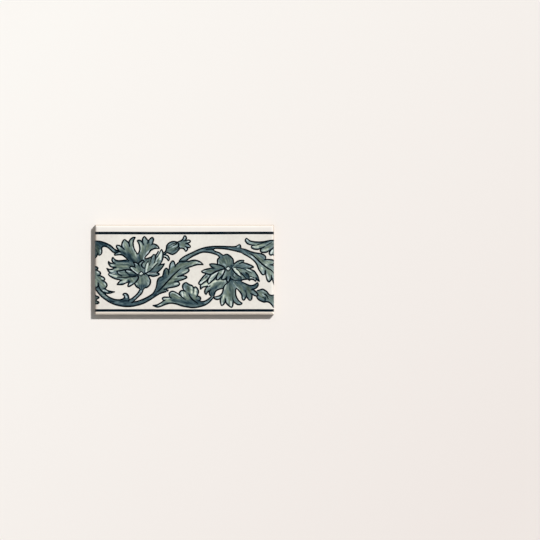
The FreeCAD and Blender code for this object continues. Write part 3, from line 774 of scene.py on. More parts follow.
        (223.4, 255.5, CORNER), (224.8, 254.8), (226.9, 254.4), (228.9, 255.3), (230.7, 256.7),
        (232.5, 258.6), (233.4, 260.6), (233.5, 262.7), (233.9, 264.2, BARE), (232, 267, BARE),
        (228.2, 268, BARE), (225, 268, CORNER), (222.5, 266.2), (220.1, 265.2), (217.8, 264.2, CORNER),
        (217.6, 262.1), (217.6, 260.1), (218.4, 258.4), (219.8, 257.6, BARE),
    ], (), [
        (0.8, BLUE, 0.6, (218.5, 260.6), (218.6, 263.6)),
        (0.4, SAGE, 1.2, (222.4, 258.4), (223.6, 260)),
        (0.42, GREY, 1.0, (222.6, 260.8), (224.6, 262)),
        (0.6, SAGE, 0.7, (226.4, 260.6), (226.6, 262.6)),
        (0.5, GREY, 1.3, (229, 260), (229.6, 264)),
        (0.74, BLUE, 0.7, (223.4, 264.2), (225.2, 265.2)),
        (0.44, BLUE, 0.9, (220.4, 256.8), (222, 258)),
        (0.4, GREY, 1.0, (229.4, 264.8), (231.4, 265.6)),
        (0.12, BLUE, 1.0, (231.4, 266), (233, 266.4)),
    ]),
    Patch(7, 0.76, GREY, [
        (228.2, 266, CORNER), (230.8, 268.6, CORNER), (228.2, 271.2, CORNER), (225.6, 268.6, CORNER),
    ], (), [
        (0.95, GREY, 0.5, (227.2, 268.1), (227.8, 269.2)),
    ]),
]

FRIEZE = {
    "stems": STEMS,
    "edge_leaves": EDGE_LEAVES,
    "centre_leaf": CENTRE_LEAF,
    "bottom_leaf": BOTTOM_LEAF,
    "right_leaves": RIGHT_LEAVES,
    "buds": BUDS,
    "left_flower": LEFT_FLOWER,
    "right_flower": RIGHT_FLOWER,
}

# Where the petals of each flower meet
FLOWER_ROOTS = {"left_flower": (141.2, 273), "right_flower": (228.6, 272)}

# The two dark rules run the whole length, not quite straight and not quite even, as a brush leaves them
TOP_RULE = [
    (92, 233.1), (118, 233.05), (150, 233.15), (184, 233.1), (216, 233.05), (248, 232.95), (277, 233)]
BOTTOM_RULE = [
    (92, 310.45), (122, 310.4), (154, 310.45), (186, 310.5), (218, 310.45), (250, 310.4), (277, 310.45)]
RULE_THICKNESS = [1, 1.02, 0.97, 1, 1.03, 0.98, 1]


# Materials

# How a screen's colours turn into light: a short straight toe, then a power curve
SCREEN_FULL = 255
TOE_END = 0.04045
TOE_SLOPE = 12.92
CURVE_LIFT = 0.055
CURVE_POWER = 2.4


def linear(*screen):
    """Turn a colour as a screen shows it, 0 to 255, into the linear colour that a shader takes."""
    colour = []
    for value in screen:
        share = value / SCREEN_FULL
        if share <= TOE_END:
            colour.append(share / TOE_SLOPE)
        else:
            colour.append(((share + CURVE_LIFT) / (1 + CURVE_LIFT)) ** CURVE_POWER)
    return (*colour, 1)


class Value:
    """A number in a material's nodes, which can be used in sums."""

    def __init__(self, tree, socket):
        self.tree = tree
        self.socket = socket

    def math(self, operation, *terms):
        node = self.tree.nodes.new("ShaderNodeMath")
        node.operation = operation
        for socket, term in zip(node.inputs, terms):
            feed(self.tree, socket, term)
        return Value(self.tree, node.outputs[0])

    def __add__(self, other):
        return self.math("ADD", self, other)

    def __radd__(self, other):
        return self.math("ADD", other, self)

    def __sub__(self, other):
        return self.math("SUBTRACT", self, other)

    def __rsub__(self, other):
        return self.math("SUBTRACT", other, self)

    def __mul__(self, other):
        return self.math("MULTIPLY", self, other)

    def __truediv__(self, other):
        return self.math("DIVIDE", self, other)


def feed(tree, socket, term):
    """Link a value to a socket, or set the socket to a plain number or colour."""
    if isinstance(term, Value):
        tree.links.new(term.socket, socket)
    else:
        socket.default_value = term


class Nodes:
    """The nodes of one material or of the world, built up from none."""

    def __init__(self, tree):
        self.tree = tree
        self.tree.nodes.clear()

    def node(self, kind, settings=None, inputs=None, output=0):
        """Add one node: its settings first, then the values or links of its sockets."""
        node = self.tree.nodes.new(kind)
        for name, setting in (settings or {}).items():
            setattr(node, name, setting)
        for name, term in (inputs or {}).items():
            feed(self.tree, node.inputs[name], term)
        return Value(self.tree, node.outputs[output]) if node.outputs else None

    def axis(self, vector, name):
        """The X, Y or Z of a place or a direction."""
        return self.node("ShaderNodeSeparateXYZ", None, {"Vector": vector}, name)

    def step(self, value, low, high):
        """Rise smoothly from 0 to 1 as the value goes from low to high."""
        return self.node("ShaderNodeMapRange", {"interpolation_type": "SMOOTHSTEP"}, {
            "Value": value, "From Min": low, "From Max": high})


# The sockets of a mix of two colours, the place where a ramp gets new stops, and the mean of a cloud
MIX_SHARE = 0
MIX_FIRST = 6
MIX_SECOND = 7
MIX_RESULT = 2
RAMP_MIDDLE = 0.5
CLOUD_MIDDLE = 0.5


class Finish(Nodes):
    """One material."""

    def __init__(self, name):
        self.material = bpy.data.materials.new(name)
        self.material.use_nodes = True
        super().__init__(self.material.node_tree)
        self.place = self.node("ShaderNodeTexCoord", output="Object")

    def painted(self, name, output):
        """What is painted on the points of a piece under this name."""
        return self.node("ShaderNodeAttribute", {"attribute_name": name}, None, output)

    def noise(self, size, detail=2.0, roughness=0.5, place=None, stretch=(1, 1, 1)):
        """Clouds of about this size in metres, from 0 to 1."""
        scaled = self.node("ShaderNodeMapping", None, {
            "Vector": place or self.place, "Scale": tuple(share / size for share in stretch)})
        return self.node("ShaderNodeTexNoise", None, {
            "Vector": scaled, "Scale": 1.0, "Detail": detail, "Roughness": roughness})

    def ramp(self, value, stops):
        """Colours along a value from 0 to 1: each stop is a place and a colour."""
        node = self.tree.nodes.new("ShaderNodeValToRGB")
        elements = node.color_ramp.elements
        while len(elements) < len(stops):
            elements.new(RAMP_MIDDLE)
        for element, (place, colour) in zip(elements, stops):
            element.position = place
            element.color = colour
        feed(self.tree, node.inputs["Fac"], value)
        return Value(self.tree, node.outputs["Color"])

    def mix(self, share, first, second):
        """Mix two colours."""
        node = self.tree.nodes.new("ShaderNodeMix")
        node.data_type = "RGBA"
        feed(self.tree, node.inputs[MIX_SHARE], share)
        feed(self.tree, node.inputs[MIX_FIRST], first)
        feed(self.tree, node.inputs[MIX_SECOND], second)
        return Value(self.tree, node.outputs[MIX_RESULT])

    def bump(self, height, distance, under=None):
        """Raise the surface by a height from 0 to 1 times a distance in metres."""
        inputs = {"Height": height, "Distance": distance, "Strength": 1.0}
        if under is not None:
            inputs["Normal"] = under
        return self.node("ShaderNodeBump", None, inputs)

    def surface(self, **sockets):
        """Finish with the shader; socket names are written with underscores."""
        inputs = {name.replace("_", " "): term for name, term in sockets.items()}
        shader = self.node("ShaderNodeBsdfPrincipled", None, inputs)
        self.node("ShaderNodeOutputMaterial", None, {"Surface": shader})
        return self.material


def even_stops(*colours):
    """Stops for colours at even places from 0 to 1."""
    return [(index / (len(colours) - 1), colour) for index, colour in enumerate(colours)]


def sway(cloud, amount):
    """How far a cloud moves a value up or down."""
    return (cloud - CLOUD_MIDDLE) * amount


# The glaze: its gloss, its slow waves and its pinholes
GLAZE_ROUGHNESS = 0.16
GLAZE_ROUGHNESS_SWAY = 0.05
GLAZE_WAVE = 14 * MM
GLAZE_WAVE_HEIGHT = 0.03 * MM
PIT_SPACING = 2.6 * MM
PIT_RIM = (0.03, 0.09)
PIT_DEPTH = 0.05 * MM


def glaze_ripple(finish):
    """The slow waves and the few pinholes of a fired glaze, the same over the ground and the paint."""
    waves = finish.bump(finish.noise(GLAZE_WAVE, detail=1), GLAZE_WAVE_HEIGHT)
    cells = finish.node("ShaderNodeTexVoronoi", {"feature": "F1"}, {
        "Vector": finish.place, "Scale": 1 / PIT_SPACING, "Randomness": 1.0})
    pits = finish.step(cells, *PIT_RIM)
    return finish.bump(pits, PIT_DEPTH, waves)


# The ground is a mean of slow clouds and fine ones
GROUND_CLOUD = 26 * MM
FINE_CLOUD = 2.2 * MM
GROUND_STOPS = [(0.3, linear(218, 210, 203)), (0.5, linear(226, 221, 212)), (0.7, linear(234, 229, 220))]

# Each change of colour: where it grows from none to full, how strong it is, and the colour it leads to
# Painted warm shade just inside the left end, which faces away from the light
WARM_SHADE_ALONG = (tile_low.x + 4.5 * MM, tile_low.x + 0.5 * MM)
WARM_SHADE_LEAST = 0.25
WARM_SHADE_CLOUDING = 0.5
WARM_SHADE_COLOUR = linear(222, 203, 186)
# Painted highlight on the strip above the upper rule, on the side the light comes from
TOP_HIGHLIGHT_ACROSS = (tile_high.y - 5.7 * MM, tile_high.y - 4.7 * MM)
TOP_HIGHLIGHT_STRENGTH = 0.75
TOP_HIGHLIGHT_COLOUR = linear(238, 231, 224)
# Painted warm light along the lower edge, lifting its shaded cushion
BOTTOM_WARM_LIGHT_ACROSS = (tile_low.y + 2.8 * MM, tile_low.y + 1.4 * MM)
BOTTOM_WARM_LIGHT_COLOUR = linear(252, 238, 222)
# The glaze runs thin over the cushion's bend; the darker band, strongest on the upper edge, is also painted
# shade
THIN_AND_SHADE_TOP = (FACE_HEIGHT - 0.3 * MM, FACE_HEIGHT - 1.5 * MM)
THIN_AND_SHADE_FOOT = (FACE_HEIGHT - 3.1 * MM, FACE_HEIGHT - 2.1 * MM)
THIN_AND_SHADE_ACROSS = (tile_low.y + 2 * MM, tile_high.y - 2 * MM)
THIN_AND_SHADE_STRENGTH = 0.8
THIN_AND_SHADE_COLOUR = linear(190, 168, 142)
# A dark band of painted shade along the edge of the left end, which faces away from the light
LEFT_END_SHADE_ALONG = (tile_low.x + 1.4 * MM, tile_low.x + 0.5 * MM)
LEFT_END_SHADE_FOOT = (FACE_HEIGHT - 3.4 * MM, FACE_HEIGHT - 2.0 * MM)
LEFT_END_SHADE_LEAST = 0.35
LEFT_END_SHADE_CLOUDING = 0.8
LEFT_END_SHADE_COLOUR = linear(92, 79, 66)

# The glaze ends about half way down the sides, above this by a height that drifts slowly and has small nicks
GLAZE_END = (FACE_HEIGHT - 5.4 * MM, FACE_HEIGHT - 5.05 * MM)
DRIFT_LENGTH = 9 * MM
DRIFT_HEIGHT = 2.6 * MM
NICK_LENGTH = 2.2 * MM
NICK_HEIGHT = 0.7 * MM
GLAZE_DEPTH = 0.14 * MM

# The biscuit is a mean of its grain and a slow change of tint
GRAIN_SIZE = 0.5 * MM
GRAIN_DEPTH = 0.12 * MM
TINT_CLOUD = 17 * MM
BISCUIT_STOPS = [(0.3, linear(138, 120, 98)), (0.52, linear(166, 148, 124)), (0.75, linear(188, 172, 148))]
BISCUIT_ROUGHNESS = 0.8


def make_glazed_body():
    """Warm white glaze over the face and the upper sides, buff biscuit below its edge and on the back.

    At the left end a dark band of painted shade lies along the edge, and warm painted shade reaches in
    from it. A painted highlight lies above the upper rule, and painted warm light lies creamy along the
    lower edge. The glaze runs thin over the cushioned edges, so the biscuit shows through, most of all on
    the upper one, where that darker band is also painted shade.
    """
    finish = Finish("warm_white_glaze_on_biscuit")
    along, across, height = [finish.axis(finish.place, name) for name in "XYZ"]
    fine = finish.noise(FINE_CLOUD, detail=3, roughness=0.6)
    ground = finish.ramp((finish.noise(GROUND_CLOUD, detail=3) + fine) / 2, GROUND_STOPS)
    # Painted warm shade at the left end
    warm_shade = finish.step(along, *WARM_SHADE_ALONG) * (WARM_SHADE_LEAST + fine * WARM_SHADE_CLOUDING)
    warm_shaded = finish.mix(warm_shade, ground, WARM_SHADE_COLOUR)
    # Painted highlight above the upper rule
    top_highlighted = finish.mix(finish.step(across, *TOP_HIGHLIGHT_ACROSS) * TOP_HIGHLIGHT_STRENGTH, warm_shaded, TOP_HIGHLIGHT_COLOUR)
    # Painted warm light along the lower edge
    bottom_warm_lit = finish.mix(finish.step(across, *BOTTOM_WARM_LIGHT_ACROSS), top_highlighted, BOTTOM_WARM_LIGHT_COLOUR)
    # Thin glaze over the cushions' bend, with painted shade on the upper edge's bend
    bend = finish.step(height, *THIN_AND_SHADE_TOP) * finish.step(height, *THIN_AND_SHADE_FOOT)
    thin = bend * finish.step(across, *THIN_AND_SHADE_ACROSS) * THIN_AND_SHADE_STRENGTH
    thinned = finish.mix(thin, bottom_warm_lit, THIN_AND_SHADE_COLOUR)
    # Painted shade: a dark band along the left end's edge
    left_end_shade = finish.step(along, *LEFT_END_SHADE_ALONG) * finish.step(height, *LEFT_END_SHADE_FOOT)
    glaze = finish.mix(left_end_shade * (LEFT_END_SHADE_LEAST + fine * LEFT_END_SHADE_CLOUDING), thinned, LEFT_END_SHADE_COLOUR)
    grain = finish.noise(GRAIN_SIZE, detail=3, roughness=0.7)
    biscuit = finish.ramp((grain + finish.noise(TINT_CLOUD)) / 2, BISCUIT_STOPS)
    edge = finish.noise(DRIFT_LENGTH) * DRIFT_HEIGHT + finish.noise(NICK_LENGTH, detail=1) * NICK_HEIGHT
    glazed = finish.step(height - edge, *GLAZE_END)
    colour = finish.mix(glazed, biscuit, glaze)
    gloss = glazed * (BISCUIT_ROUGHNESS - GLAZE_ROUGHNESS)
    roughness = BISCUIT_ROUGHNESS - gloss + sway(fine, GLAZE_ROUGHNESS_SWAY)
    rough_clay = finish.bump((1 - glazed) * grain, GRAIN_DEPTH, glaze_ripple(finish))
    rolled_edge = finish.bump(glazed, GLAZE_DEPTH, rough_clay)
    return finish.surface(Base_Color=colour, Roughness=roughness, Normal=rolled_edge)


# The washes: streaks and pools move the tone and strands the colour; streaks and strands run with the brush
TONE_GAIN = 1.24
TONE_LOSS = 0.1
GREEN_GAIN = 1.15
STREAK_WIDTH = 1.05 * MM
STREAK_STRETCH = (1, 0.14, 1)
STREAK_SWAY = 0.85
WASH_POOL = 2.0 * MM
WASH_POOL_SWAY = 0.3
STRAND_WIDTH = 1.3 * MM
STRAND_STRETCH = (1, 0.2, 1)
STRAND_SWAY = 0.8
PAINT_ROUGHNESS_SWAY = 0.06

# The colours of each wash, from dark to pale
SLATE_STOPS = even_stops(
    linear(18, 34, 43), linear(42, 63, 73), linear(74, 94, 100),
    linear(106, 125, 130), linear(144, 163, 168), linear(209, 219, 219))
SAGE_STOPS = even_stops(
    linear(22, 36, 34), linear(50, 65, 61), linear(85, 98, 87),
    linear(115, 129, 115), linear(152, 165, 149), linear(215, 222, 206))


def make_wash():
    """Slate and sage washes: the tone painted on each shape, broken up by brush streaks and pooling."""
    finish = Finish("slate_and_sage_wash")
    flow = finish.painted("flow", "Vector")
    streaks = finish.noise(STREAK_WIDTH, roughness=0.6, place=flow, stretch=STREAK_STRETCH)
    strands = finish.noise(STRAND_WIDTH, roughness=0.6, place=flow, stretch=STRAND_STRETCH)
    pools = finish.noise(WASH_POOL, detail=3, roughness=0.65)
    loaded = finish.painted("tone", "Fac") * TONE_GAIN - TONE_LOSS
    tone = loaded + sway(streaks, STREAK_SWAY) + sway(pools, WASH_POOL_SWAY)
    green = finish.painted("green", "Fac") * GREEN_GAIN + sway(strands, STRAND_SWAY)
    colour = finish.mix(green, finish.ramp(tone, SLATE_STOPS), finish.ramp(tone, SAGE_STOPS))
    roughness = GLAZE_ROUGHNESS + sway(pools, PAINT_ROUGHNESS_SWAY)
    return finish.surface(Base_Color=colour, Roughness=roughness, Normal=glaze_ripple(finish))


# The inks: how thin the pen's load gets, and the places on that scale of the dark and the pale colour
INK_CLOUD = 3.5 * MM
FULL_LOAD = 0.35
THIN_LOAD = 0.75
LINE_INKS = (linear(0, 8, 13), linear(2, 25, 36))
RULE_INKS = (linear(0, 10, 20), linear(4, 26, 40))


def make_ink(name, dark, pale):
    """Blue-black line colour, a little thinner here and there."""
    finish = Finish(name)
    load = finish.noise(INK_CLOUD, detail=3, roughness=0.6)
    colour = finish.ramp(load, [(FULL_LOAD, dark), (THIN_LOAD, pale)])
    roughness = GLAZE_ROUGHNESS + sway(load, PAINT_ROUGHNESS_SWAY)
    return finish.surface(Base_Color=colour, Roughness=roughness, Normal=glaze_ripple(finish))


# The floor, with the place where its painted shade starts and the length that it takes
FLOOR_PAINTED_SHADE_START = -334 * MM
FLOOR_PAINTED_SHADE_LENGTH = 796 * MM
FLOOR_PAINTED_SHADE_STOPS = even_stops(linear(241, 237, 232), linear(229, 221, 216))
FLOOR_ROUGHNESS = 0.9
FLOOR_SHINE = 0.1


def make_floor_finish():
    """Off-white board with painted shade, slowly darker and pinker from the upper left to the lower right.
    """
    finish = Finish("off_white_board_with_painted_shade")
    # Painted shade: the board grows darker towards the lower right
    downward = finish.axis(finish.place, "X") - finish.axis(finish.place, "Y")
    colour = finish.ramp((downward - FLOOR_PAINTED_SHADE_START) / FLOOR_PAINTED_SHADE_LENGTH, FLOOR_PAINTED_SHADE_STOPS)
    return finish.surface(Base_Color=colour, Roughness=FLOOR_ROUGHNESS, Specular_IOR_Level=FLOOR_SHINE)


# Modelling


def deselect_all():
    """Select no object."""
    bpy.ops.object.select_all(action="DESELECT")


def make_active(piece):
    """Select one object alone."""
    deselect_all()
    piece.select_set(True)
    bpy.context.view_layer.objects.active = piece


def on_face(point):
    """A point of the sheet as a place on the tile's face, in metres."""
    return (point[0] - SHEET_MIDDLE[0]) * SQUARE, (SHEET_MIDDLE[1] - point[1]) * SQUARE


def on_sheet(points):
    """Places on the tile's face, in metres, as points of the sheet."""
    right = points[:, 0] / SQUARE + SHEET_MIDDLE[0]
    down = SHEET_MIDDLE[1] - points[:, 1] / SQUARE
    return np.column_stack((right, down))


def mark_of(point):
    """How a point is drawn, or nothing for a plain one."""
    return point[2] if len(point) > 2 else None


def start_curve(name, flat):
    """Add a curve object with no lines on it yet."""
    deselect_all()
    bpy.ops.curve.primitive_bezier_curve_add(location=(0, 0, 0))
    curve = bpy.context.object
    curve.name = name
    curve.data.dimensions = "2D" if flat else "3D"
    curve.data.splines.clear()
    return curve


def add_line(curve, points, closed, thickness=None):
    """Draw a line through points of the sheet, sharp at marked points and at its ends, curved elsewhere."""
    line = curve.data.splines.new("BEZIER")
    line.bezier_points.add(len(points) - 1)
    line.use_cyclic_u = closed
    last = len(points) - 1
    for index, (knot, point) in enumerate(zip(line.bezier_points, points)):
        x, y = on_face(point)
        knot.co = (x, y, 0)
        sharp = mark_of(point) is not None or (not closed and index in (0, last))
        knot.handle_left_type = "VECTOR" if sharp else "AUTO"
        knot.handle_right_type = knot.handle_left_type
        if thickness is not None:
            knot.radius = thickness[index]


SAME_POINT = 0.001 * MM


def to_mesh(curve):
    """Turn a finished curve into a mesh with no doubled points."""
    make_active(curve)
    bpy.ops.object.convert(target="MESH")
    piece = bpy.context.object
    bpy.ops.object.mode_set(mode="EDIT")
    bpy.ops.mesh.select_all(action="SELECT")
    bpy.ops.mesh.remove_doubles(threshold=SAME_POINT)
    bpy.ops.object.mode_set(mode="OBJECT")
    return piece


def cut(place, direction, clear=False, fill=False):
    """Cut the mesh being edited by a plane, and clear what is in front of the plane if asked."""
    bpy.ops.mesh.select_all(action="SELECT")
    bpy.ops.mesh.bisect(plane_co=place, plane_no=direction, clear_outer=clear, use_fill=fill)


def place_on_cushion(degrees):
    """How far from the middle the cushioned end is where it has turned by this much."""
    return CUSHION_START + CUSHION_RADIUS * math.sin(math.radians(degrees))


def trim_ends(piece, fill):
    """Cut off what runs past the tile's two ends, and cut the paint on the cushions into narrow strips."""
    make_active(piece)
    bpy.ops.object.mode_set(mode="EDIT")
    for side in (-1, 1):
        cut((side * place_on_cushion(PAINT_REACH_DEGREES), 0, 0), (side, 0, 0), clear=True, fill=fill)
        for degrees in range(0, PAINT_REACH_DEGREES, WRAP_STEP_DEGREES):
            cut((side * place_on_cushion(degrees), 0, 0), (side, 0, 0))
    bpy.ops.object.mode_set(mode="OBJECT")


def points_of(piece):
    """All points of a mesh as an array."""
    flat = np.zeros(len(piece.data.vertices) * 3, np.float32)
    piece.data.vertices.foreach_get("co", flat)
    return flat.reshape(-1, 3)


def move_points(piece, points):
    """Put the points of a mesh where an array has them."""
    piece.data.vertices.foreach_set("co", points.astype(np.float32).ravel())
    piece.data.update()


def bend_over_ends(piece):
    """Lay flat paint on the tile: its height counts from the face, and it rolls over the cushioned ends."""
    points = points_of(piece).astype(float)
    past = np.clip(np.abs(points[:, 0]) - CUSHION_START, 0, CUSHION_RADIUS)
    angle = np.arcsin(past / CUSHION_RADIUS)
    reach = CUSHION_RADIUS + points[:, 2]
    rolled = past > 0
    side = np.sign(points[:, 0])
    points[:, 0] = np.where(rolled, side * (CUSHION_START + reach * np.sin(angle)), points[:, 0])
    points[:, 2] = FACE_HEIGHT - CUSHION_RADIUS + reach * np.cos(angle)
    move_points(piece, points)


def distance_to_line(places, line):
    """How far each place is from a line through points, all in squares of the sheet."""
    nearest = np.full(len(places), np.inf)
    for start, end in zip(line[:-1], line[1:]):
        start = np.array(start[:2], float)
        along = np.array(end[:2], float) - start
        share = np.clip((places - start) @ along / (along @ along), 0, 1)
        gap = np.linalg.norm(places - start - share[:, None] * along, axis=1)
        nearest = np.minimum(nearest, gap)
    return nearest


# The strokes of a tip and a notch: tone, colour and half width, and from where to where they reach inward
CORNER_BRUSHES = {TIP: (0.72, GREY, 0.6), NOTCH: (0.1, BLUE, 0.55)}
CORNER_REACHES = {TIP: (1.2, 2.6), NOTCH: (0.0, 1.7)}


def corner_lines(outline):
    """A short line inward from every tip and notch: its mark, its start and its end."""
    lines = []
    for index, point in enumerate(outline):
        mark = mark_of(point)
        if mark not in CORNER_REACHES:
            continue
        following = outline[(index + 1) % len(outline)]
        before, here, after = [np.array(spot[:2], float) for spot in (outline[index - 1], point, following)]
        inward = (before + after) / 2 - here
        if mark == NOTCH:
            inward = -inward
        inward /= np.linalg.norm(inward)
        lines.append((mark, *(tuple(here + reach * inward) for reach in CORNER_REACHES[mark])))
    return lines


# How fully a stroke covers what is under it, and how far it spreads for its half width
STROKE_STRENGTH = 0.92
STROKE_SPREAD = 1.15
# The line colour bleeds into the edge of each wash and turns it blue
RIM_REACH = 1.5
RIM_STRENGTH = 0.85


def paint_tones(piece, patch, root):
    """Give each point of a shape its tone and colour, stroke over stroke, and the way its streaks run."""
    places = on_sheet(points_of(piece))
    tone = np.full(len(places), patch.tone)
    green = np.full(len(places), patch.colour)
    corners = [(*CORNER_BRUSHES[mark], start, end) for mark, start, end in corner_lines(patch.outline)]
    for target, colour, half_width, *line in corners + list(patch.strokes):
        reach = distance_to_line(places, line) / (half_width * STROKE_SPREAD)
        share = STROKE_STRENGTH * np.exp(-reach ** 2)
        tone += (target - tone) * share
        green += (colour - green) * share
    rim = np.exp(-(distance_to_line(places, patch.outline + patch.outline[:1]) / RIM_REACH) ** 2)
    green += (BLUE - green) * RIM_STRENGTH * rim
    flow = np.column_stack((*brush_flow(places, patch, root), np.full(len(places), patch.layer))) * SQUARE
    for name, values in (("tone", tone), ("green", green)):
        attribute = piece.data.attributes.new(name, "FLOAT", "POINT")
        attribute.data.foreach_set("value", values.astype(np.float32))
    attribute = piece.data.attributes.new("flow", "FLOAT_VECTOR", "POINT")
    attribute.data.foreach_set("vector", flow.astype(np.float32).ravel())


def brush_direction(patch):
    """The way most of a shape's strokes run, weighted by their length."""
    total = np.zeros(2)
    for _, _, _, *line in patch.strokes:
        run = np.array(line[-1], float) - np.array(line[0], float)
        if run @ total < 0:
            run = -run
        total += run
    return total / np.linalg.norm(total)


# Streaks that fan out from a flower's root have their true width this many squares from it
FAN_RADIUS = 16


def brush_flow(places, patch, root):
    """How far each place is across and along the brush streaks, which fan out from a flower's root."""
    if root is None:
        direction = brush_direction(patch)
        across = np.array((-direction[1], direction[0]))
        return places @ across, places @ direction
    reach = places - np.array(root)
    return np.arctan2(reach[:, 1], reach[:, 0]) * FAN_RADIUS, np.linalg.norm(reach, axis=1)


def layer_height(patch):
    """How high above the face a shape's coat lies."""
    return FIRST_LAYER + patch.layer * LAYER_STEP


# How finely a curve is cut between two points, and a pen line round its half section
WASH_CURVE_STEPS = 6
LINE_CURVE_STEPS = 5
LINE_ROUND_STEPS = 1


def make_wash_sheet(name, patch, root):
    """Fill one outline, cut it into small squares and paint it."""
    curve = start_curve(name, flat=True)
    curve.data.fill_mode = "BOTH"
    curve.data.resolution_u = WASH_CURVE_STEPS
    add_line(curve, patch.outline, closed=True)
    sheet = to_mesh(curve)
    points = points_of(sheet)
    low, high = points.min(axis=0), points.max(axis=0)
    bpy.ops.object.mode_set(mode="EDIT")
    for axis in (0, 1):
        direction = tuple(float(axis == index) for index in range(3))
        for step in range(math.ceil(low[axis] / CELL), math.floor(high[axis] / CELL) + 1):
            cut(tuple(step * CELL * share for share in direction), direction)
    bpy.ops.object.mode_set(mode="OBJECT")
    trim_ends(sheet, fill=False)
    paint_tones(sheet, patch, root)
    points = points_of(sheet)
    points[:, 2] = layer_height(patch)
    move_points(sheet, points)
    return sheet


def join(parts, name):
    """Join parts into one named piece."""
    deselect_all()
    for part in parts:
        part.select_set(True)
    bpy.context.view_layer.objects.active = parts[0]
    if len(parts) > 1:
        bpy.ops.object.join()
    piece = bpy.context.object
    piece.name = name
    piece.data.name = name
    return piece


def thicken(piece):
    """Give a flat wash its depth, downward."""
    make_active(piece)
    modifier = piece.modifiers.new("depth", "SOLIDIFY")
    modifier.thickness = PAINT_DEPTH
    modifier.offset = -1
    bpy.ops.object.modifier_apply(modifier=modifier.name)


SMOOTH_ANGLE = math.radians(40)


def finish_piece(piece, material):
    """Give a piece its one material and its place on the tile."""
    piece.data.materials.clear()
    piece.data.materials.append(material)
    make_active(piece)
    bpy.ops.object.shade_smooth_by_angle(angle=SMOOTH_ANGLE)
    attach(piece, "root")


def ink_runs(outline):
    """Split an outline at its corners into the runs that are inked."""
    marked = [index for index, point in enumerate(outline) if mark_of(point) is not None]
    runs = []
    for start, end in zip(marked, marked[1:] + [marked[0] + len(outline)]):
        if mark_of(outline[start]) != BARE:
            runs.append([outline[index % len(outline)] for index in range(start, end + 1)])
    return runs


# Thickness of a vein at its start and its end, and of a line that swells at its ends and midway
VEIN_THICKNESS = (0.72, 0.36)
BOLD_THICKNESS = (1.1, 0.55)
LINE_SWELL = (0.72, 1.08)
MIDRIB_SWELL = (0.55, 1.15)
# Under 1, a line swells soon after its start and stays thick
SWELL_POWER = 0.6


def swell(run, thickness):
    """Thickness at each point of a pen line that swells between its ends."""
    last = len(run) - 1
    ends, midway = thickness
    shares = [math.sin(math.pi * index / last) ** SWELL_POWER for index in range(last + 1)]
    return [ends + (midway - ends) * share for share in shares]


def vein_thickness(run):
    """Thickness at each point of a vein, which tapers away from its start, or of a midrib, which swells."""
    if mark_of(run[0]) == MIDRIB:
        return swell(run, MIDRIB_SWELL)
    start, end = BOLD_THICKNESS if mark_of(run[0]) == BOLD else VEIN_THICKNESS
    last = len(run) - 1
    return [start + (end - start) * index / last for index in range(last + 1)]


def make_pen_lines(name, lines, half_width, flatness, height):
    """Draw lines of the sheet as flat ribbons of ink at one height; a line is its points and thickness."""
    curve = start_curve(name, flat=False)
    curve.data.resolution_u = LINE_CURVE_STEPS
    curve.data.bevel_depth = half_width
    curve.data.bevel_resolution = LINE_ROUND_STEPS
    curve.data.use_fill_caps = True
    for points, thickness in lines:
        add_line(curve, points, closed=False, thickness=thickness)
    pen = to_mesh(curve)
    points = points_of(pen)
    points[:, 2] = points[:, 2] * flatness + height
    move_points(pen, points)
    trim_ends(pen, fill=True)
    return pen


def make_group(name, patches, wash, ink):
    """Paint one group of shapes: its washes as one piece, its pen lines as another."""
    sheets = [make_wash_sheet(name, patch, FLOWER_ROOTS.get(name)) for patch in patches]
    washed = join(sheets, name + "_wash")
    thicken(washed)
    bend_over_ends(washed)
    finish_piece(washed, wash)
    pens = []
    for patch in patches:
        lines = [(run, swell(run, LINE_SWELL)) for run in ink_runs(patch.outline)]
        folds = [[(*start, BOLD), end] for mark, start, end in corner_lines(patch.outline) if mark == NOTCH]
        lines += [(vein, vein_thickness(vein)) for vein in list(patch.veins) + folds]
        height = layer_height(patch) + INK_RISE
        pens.append(make_pen_lines(name, lines, INK_HALF_WIDTH, INK_FLATNESS, height))
    inked = join(pens, name + "_lines")
    bend_over_ends(inked)
    finish_piece(inked, ink)


# The tile and its paint
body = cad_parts["border_tile"]
body.material_slots[0].material = make_glazed_body()

wash_finish = make_wash()
line_ink = make_ink("blue_black_line_ink", *LINE_INKS)
rule_ink = make_ink("blue_black_rule_ink", *RULE_INKS)
for group_name, group_patches in FRIEZE.items():
    make_group(group_name, group_patches, wash_finish, line_ink)

rules = make_pen_lines(
    "border_rules", [(TOP_RULE, RULE_THICKNESS), (BOTTOM_RULE, RULE_THICKNESS[::-1])],
    RULE_HALF_WIDTH, RULE_FLATNESS, FIRST_LAYER)
rules.data.name = "border_rules"
bend_over_ends(rules)
finish_piece(rules, rule_ink)

# The floor, a hair below the tile
FLOOR_SIZE = 4.0
FLOOR_GAP = 0.05 * MM
deselect_all()
bpy.ops.mesh.primitive_plane_add(size=FLOOR_SIZE, location=(0, 0, tile_low.z - FLOOR_GAP))
floor = bpy.context.object
floor.name = "floor"
bpy.ops.object.transform_apply(location=True, rotation=False, scale=False)
floor.data.materials.append(make_floor_finish())

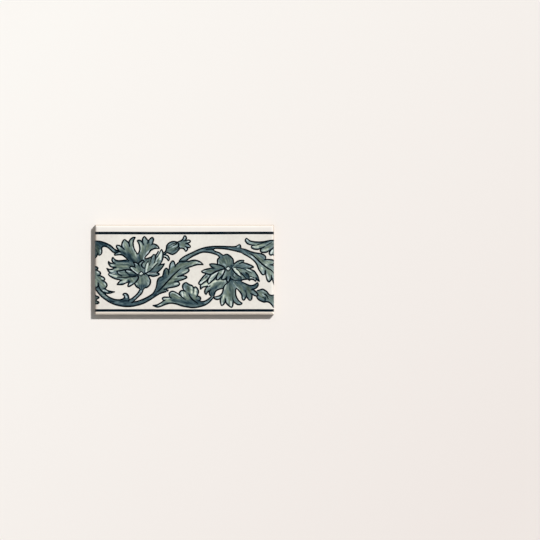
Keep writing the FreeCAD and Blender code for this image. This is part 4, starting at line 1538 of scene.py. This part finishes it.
# The shadow falls left and down of the tile: the light comes from the right and from above by these slopes
LIGHT_FROM_RIGHT = 0.58
LIGHT_FROM_ABOVE = 0.65
LIGHT_PLACE = (0.5, 0.5, 1.2)
LIGHT_STRENGTH = 3.5
LIGHT_SPREAD = math.radians(4)
bpy.ops.object.light_add(type="SUN", location=LIGHT_PLACE)
sun = bpy.context.object
sun.name = "key_light"
sun.data.energy = LIGHT_STRENGTH
sun.data.angle = LIGHT_SPREAD
tilt = math.atan(math.hypot(LIGHT_FROM_RIGHT, LIGHT_FROM_ABOVE))
sun.rotation_euler = (0, tilt, math.atan2(LIGHT_FROM_ABOVE, LIGHT_FROM_RIGHT))

# Soft light from all round, but little from straight overhead, where a camera would hang
ROUND_LIGHT = 0.34
OVERHEAD_LIGHT = 0.03
ROUND_COLOUR = (0.96, 0.99, 1.0, 1)
OVERHEAD_EDGE = (0.97, 0.8)
world = bpy.data.worlds.new("studio")
bpy.context.scene.world = world
world.use_nodes = True
studio = Nodes(world.node_tree)
way = studio.node("ShaderNodeTexCoord", output="Generated")
aside = studio.step(studio.axis(way, "Z"), *OVERHEAD_EDGE)
strength = OVERHEAD_LIGHT + aside * (ROUND_LIGHT - OVERHEAD_LIGHT)
glow = studio.node("ShaderNodeBackground", None, {"Color": ROUND_COLOUR, "Strength": strength})
studio.node("ShaderNodeOutputWorld", None, {"Surface": glow})

# The camera looks straight down, with the tile left of the picture's middle
PICTURE_SQUARES = 540
PICTURE_MIDDLE = on_face((PICTURE_SQUARES / 2, PICTURE_SQUARES / 2))
LENS = 180
SENSOR = 36
FARTHEST_SEEN = 10
camera_height = FACE_HEIGHT + PICTURE_SQUARES * SQUARE * LENS / SENSOR
bpy.ops.object.camera_add(location=(*PICTURE_MIDDLE, camera_height), rotation=(0, 0, 0))
camera = bpy.context.object
camera.name = "camera"
camera.data.lens = LENS
camera.data.sensor_width = SENSOR
camera.data.clip_end = FARTHEST_SEEN
bpy.context.scene.camera = camera
bpy.context.scene.view_settings.view_transform = "Standard"
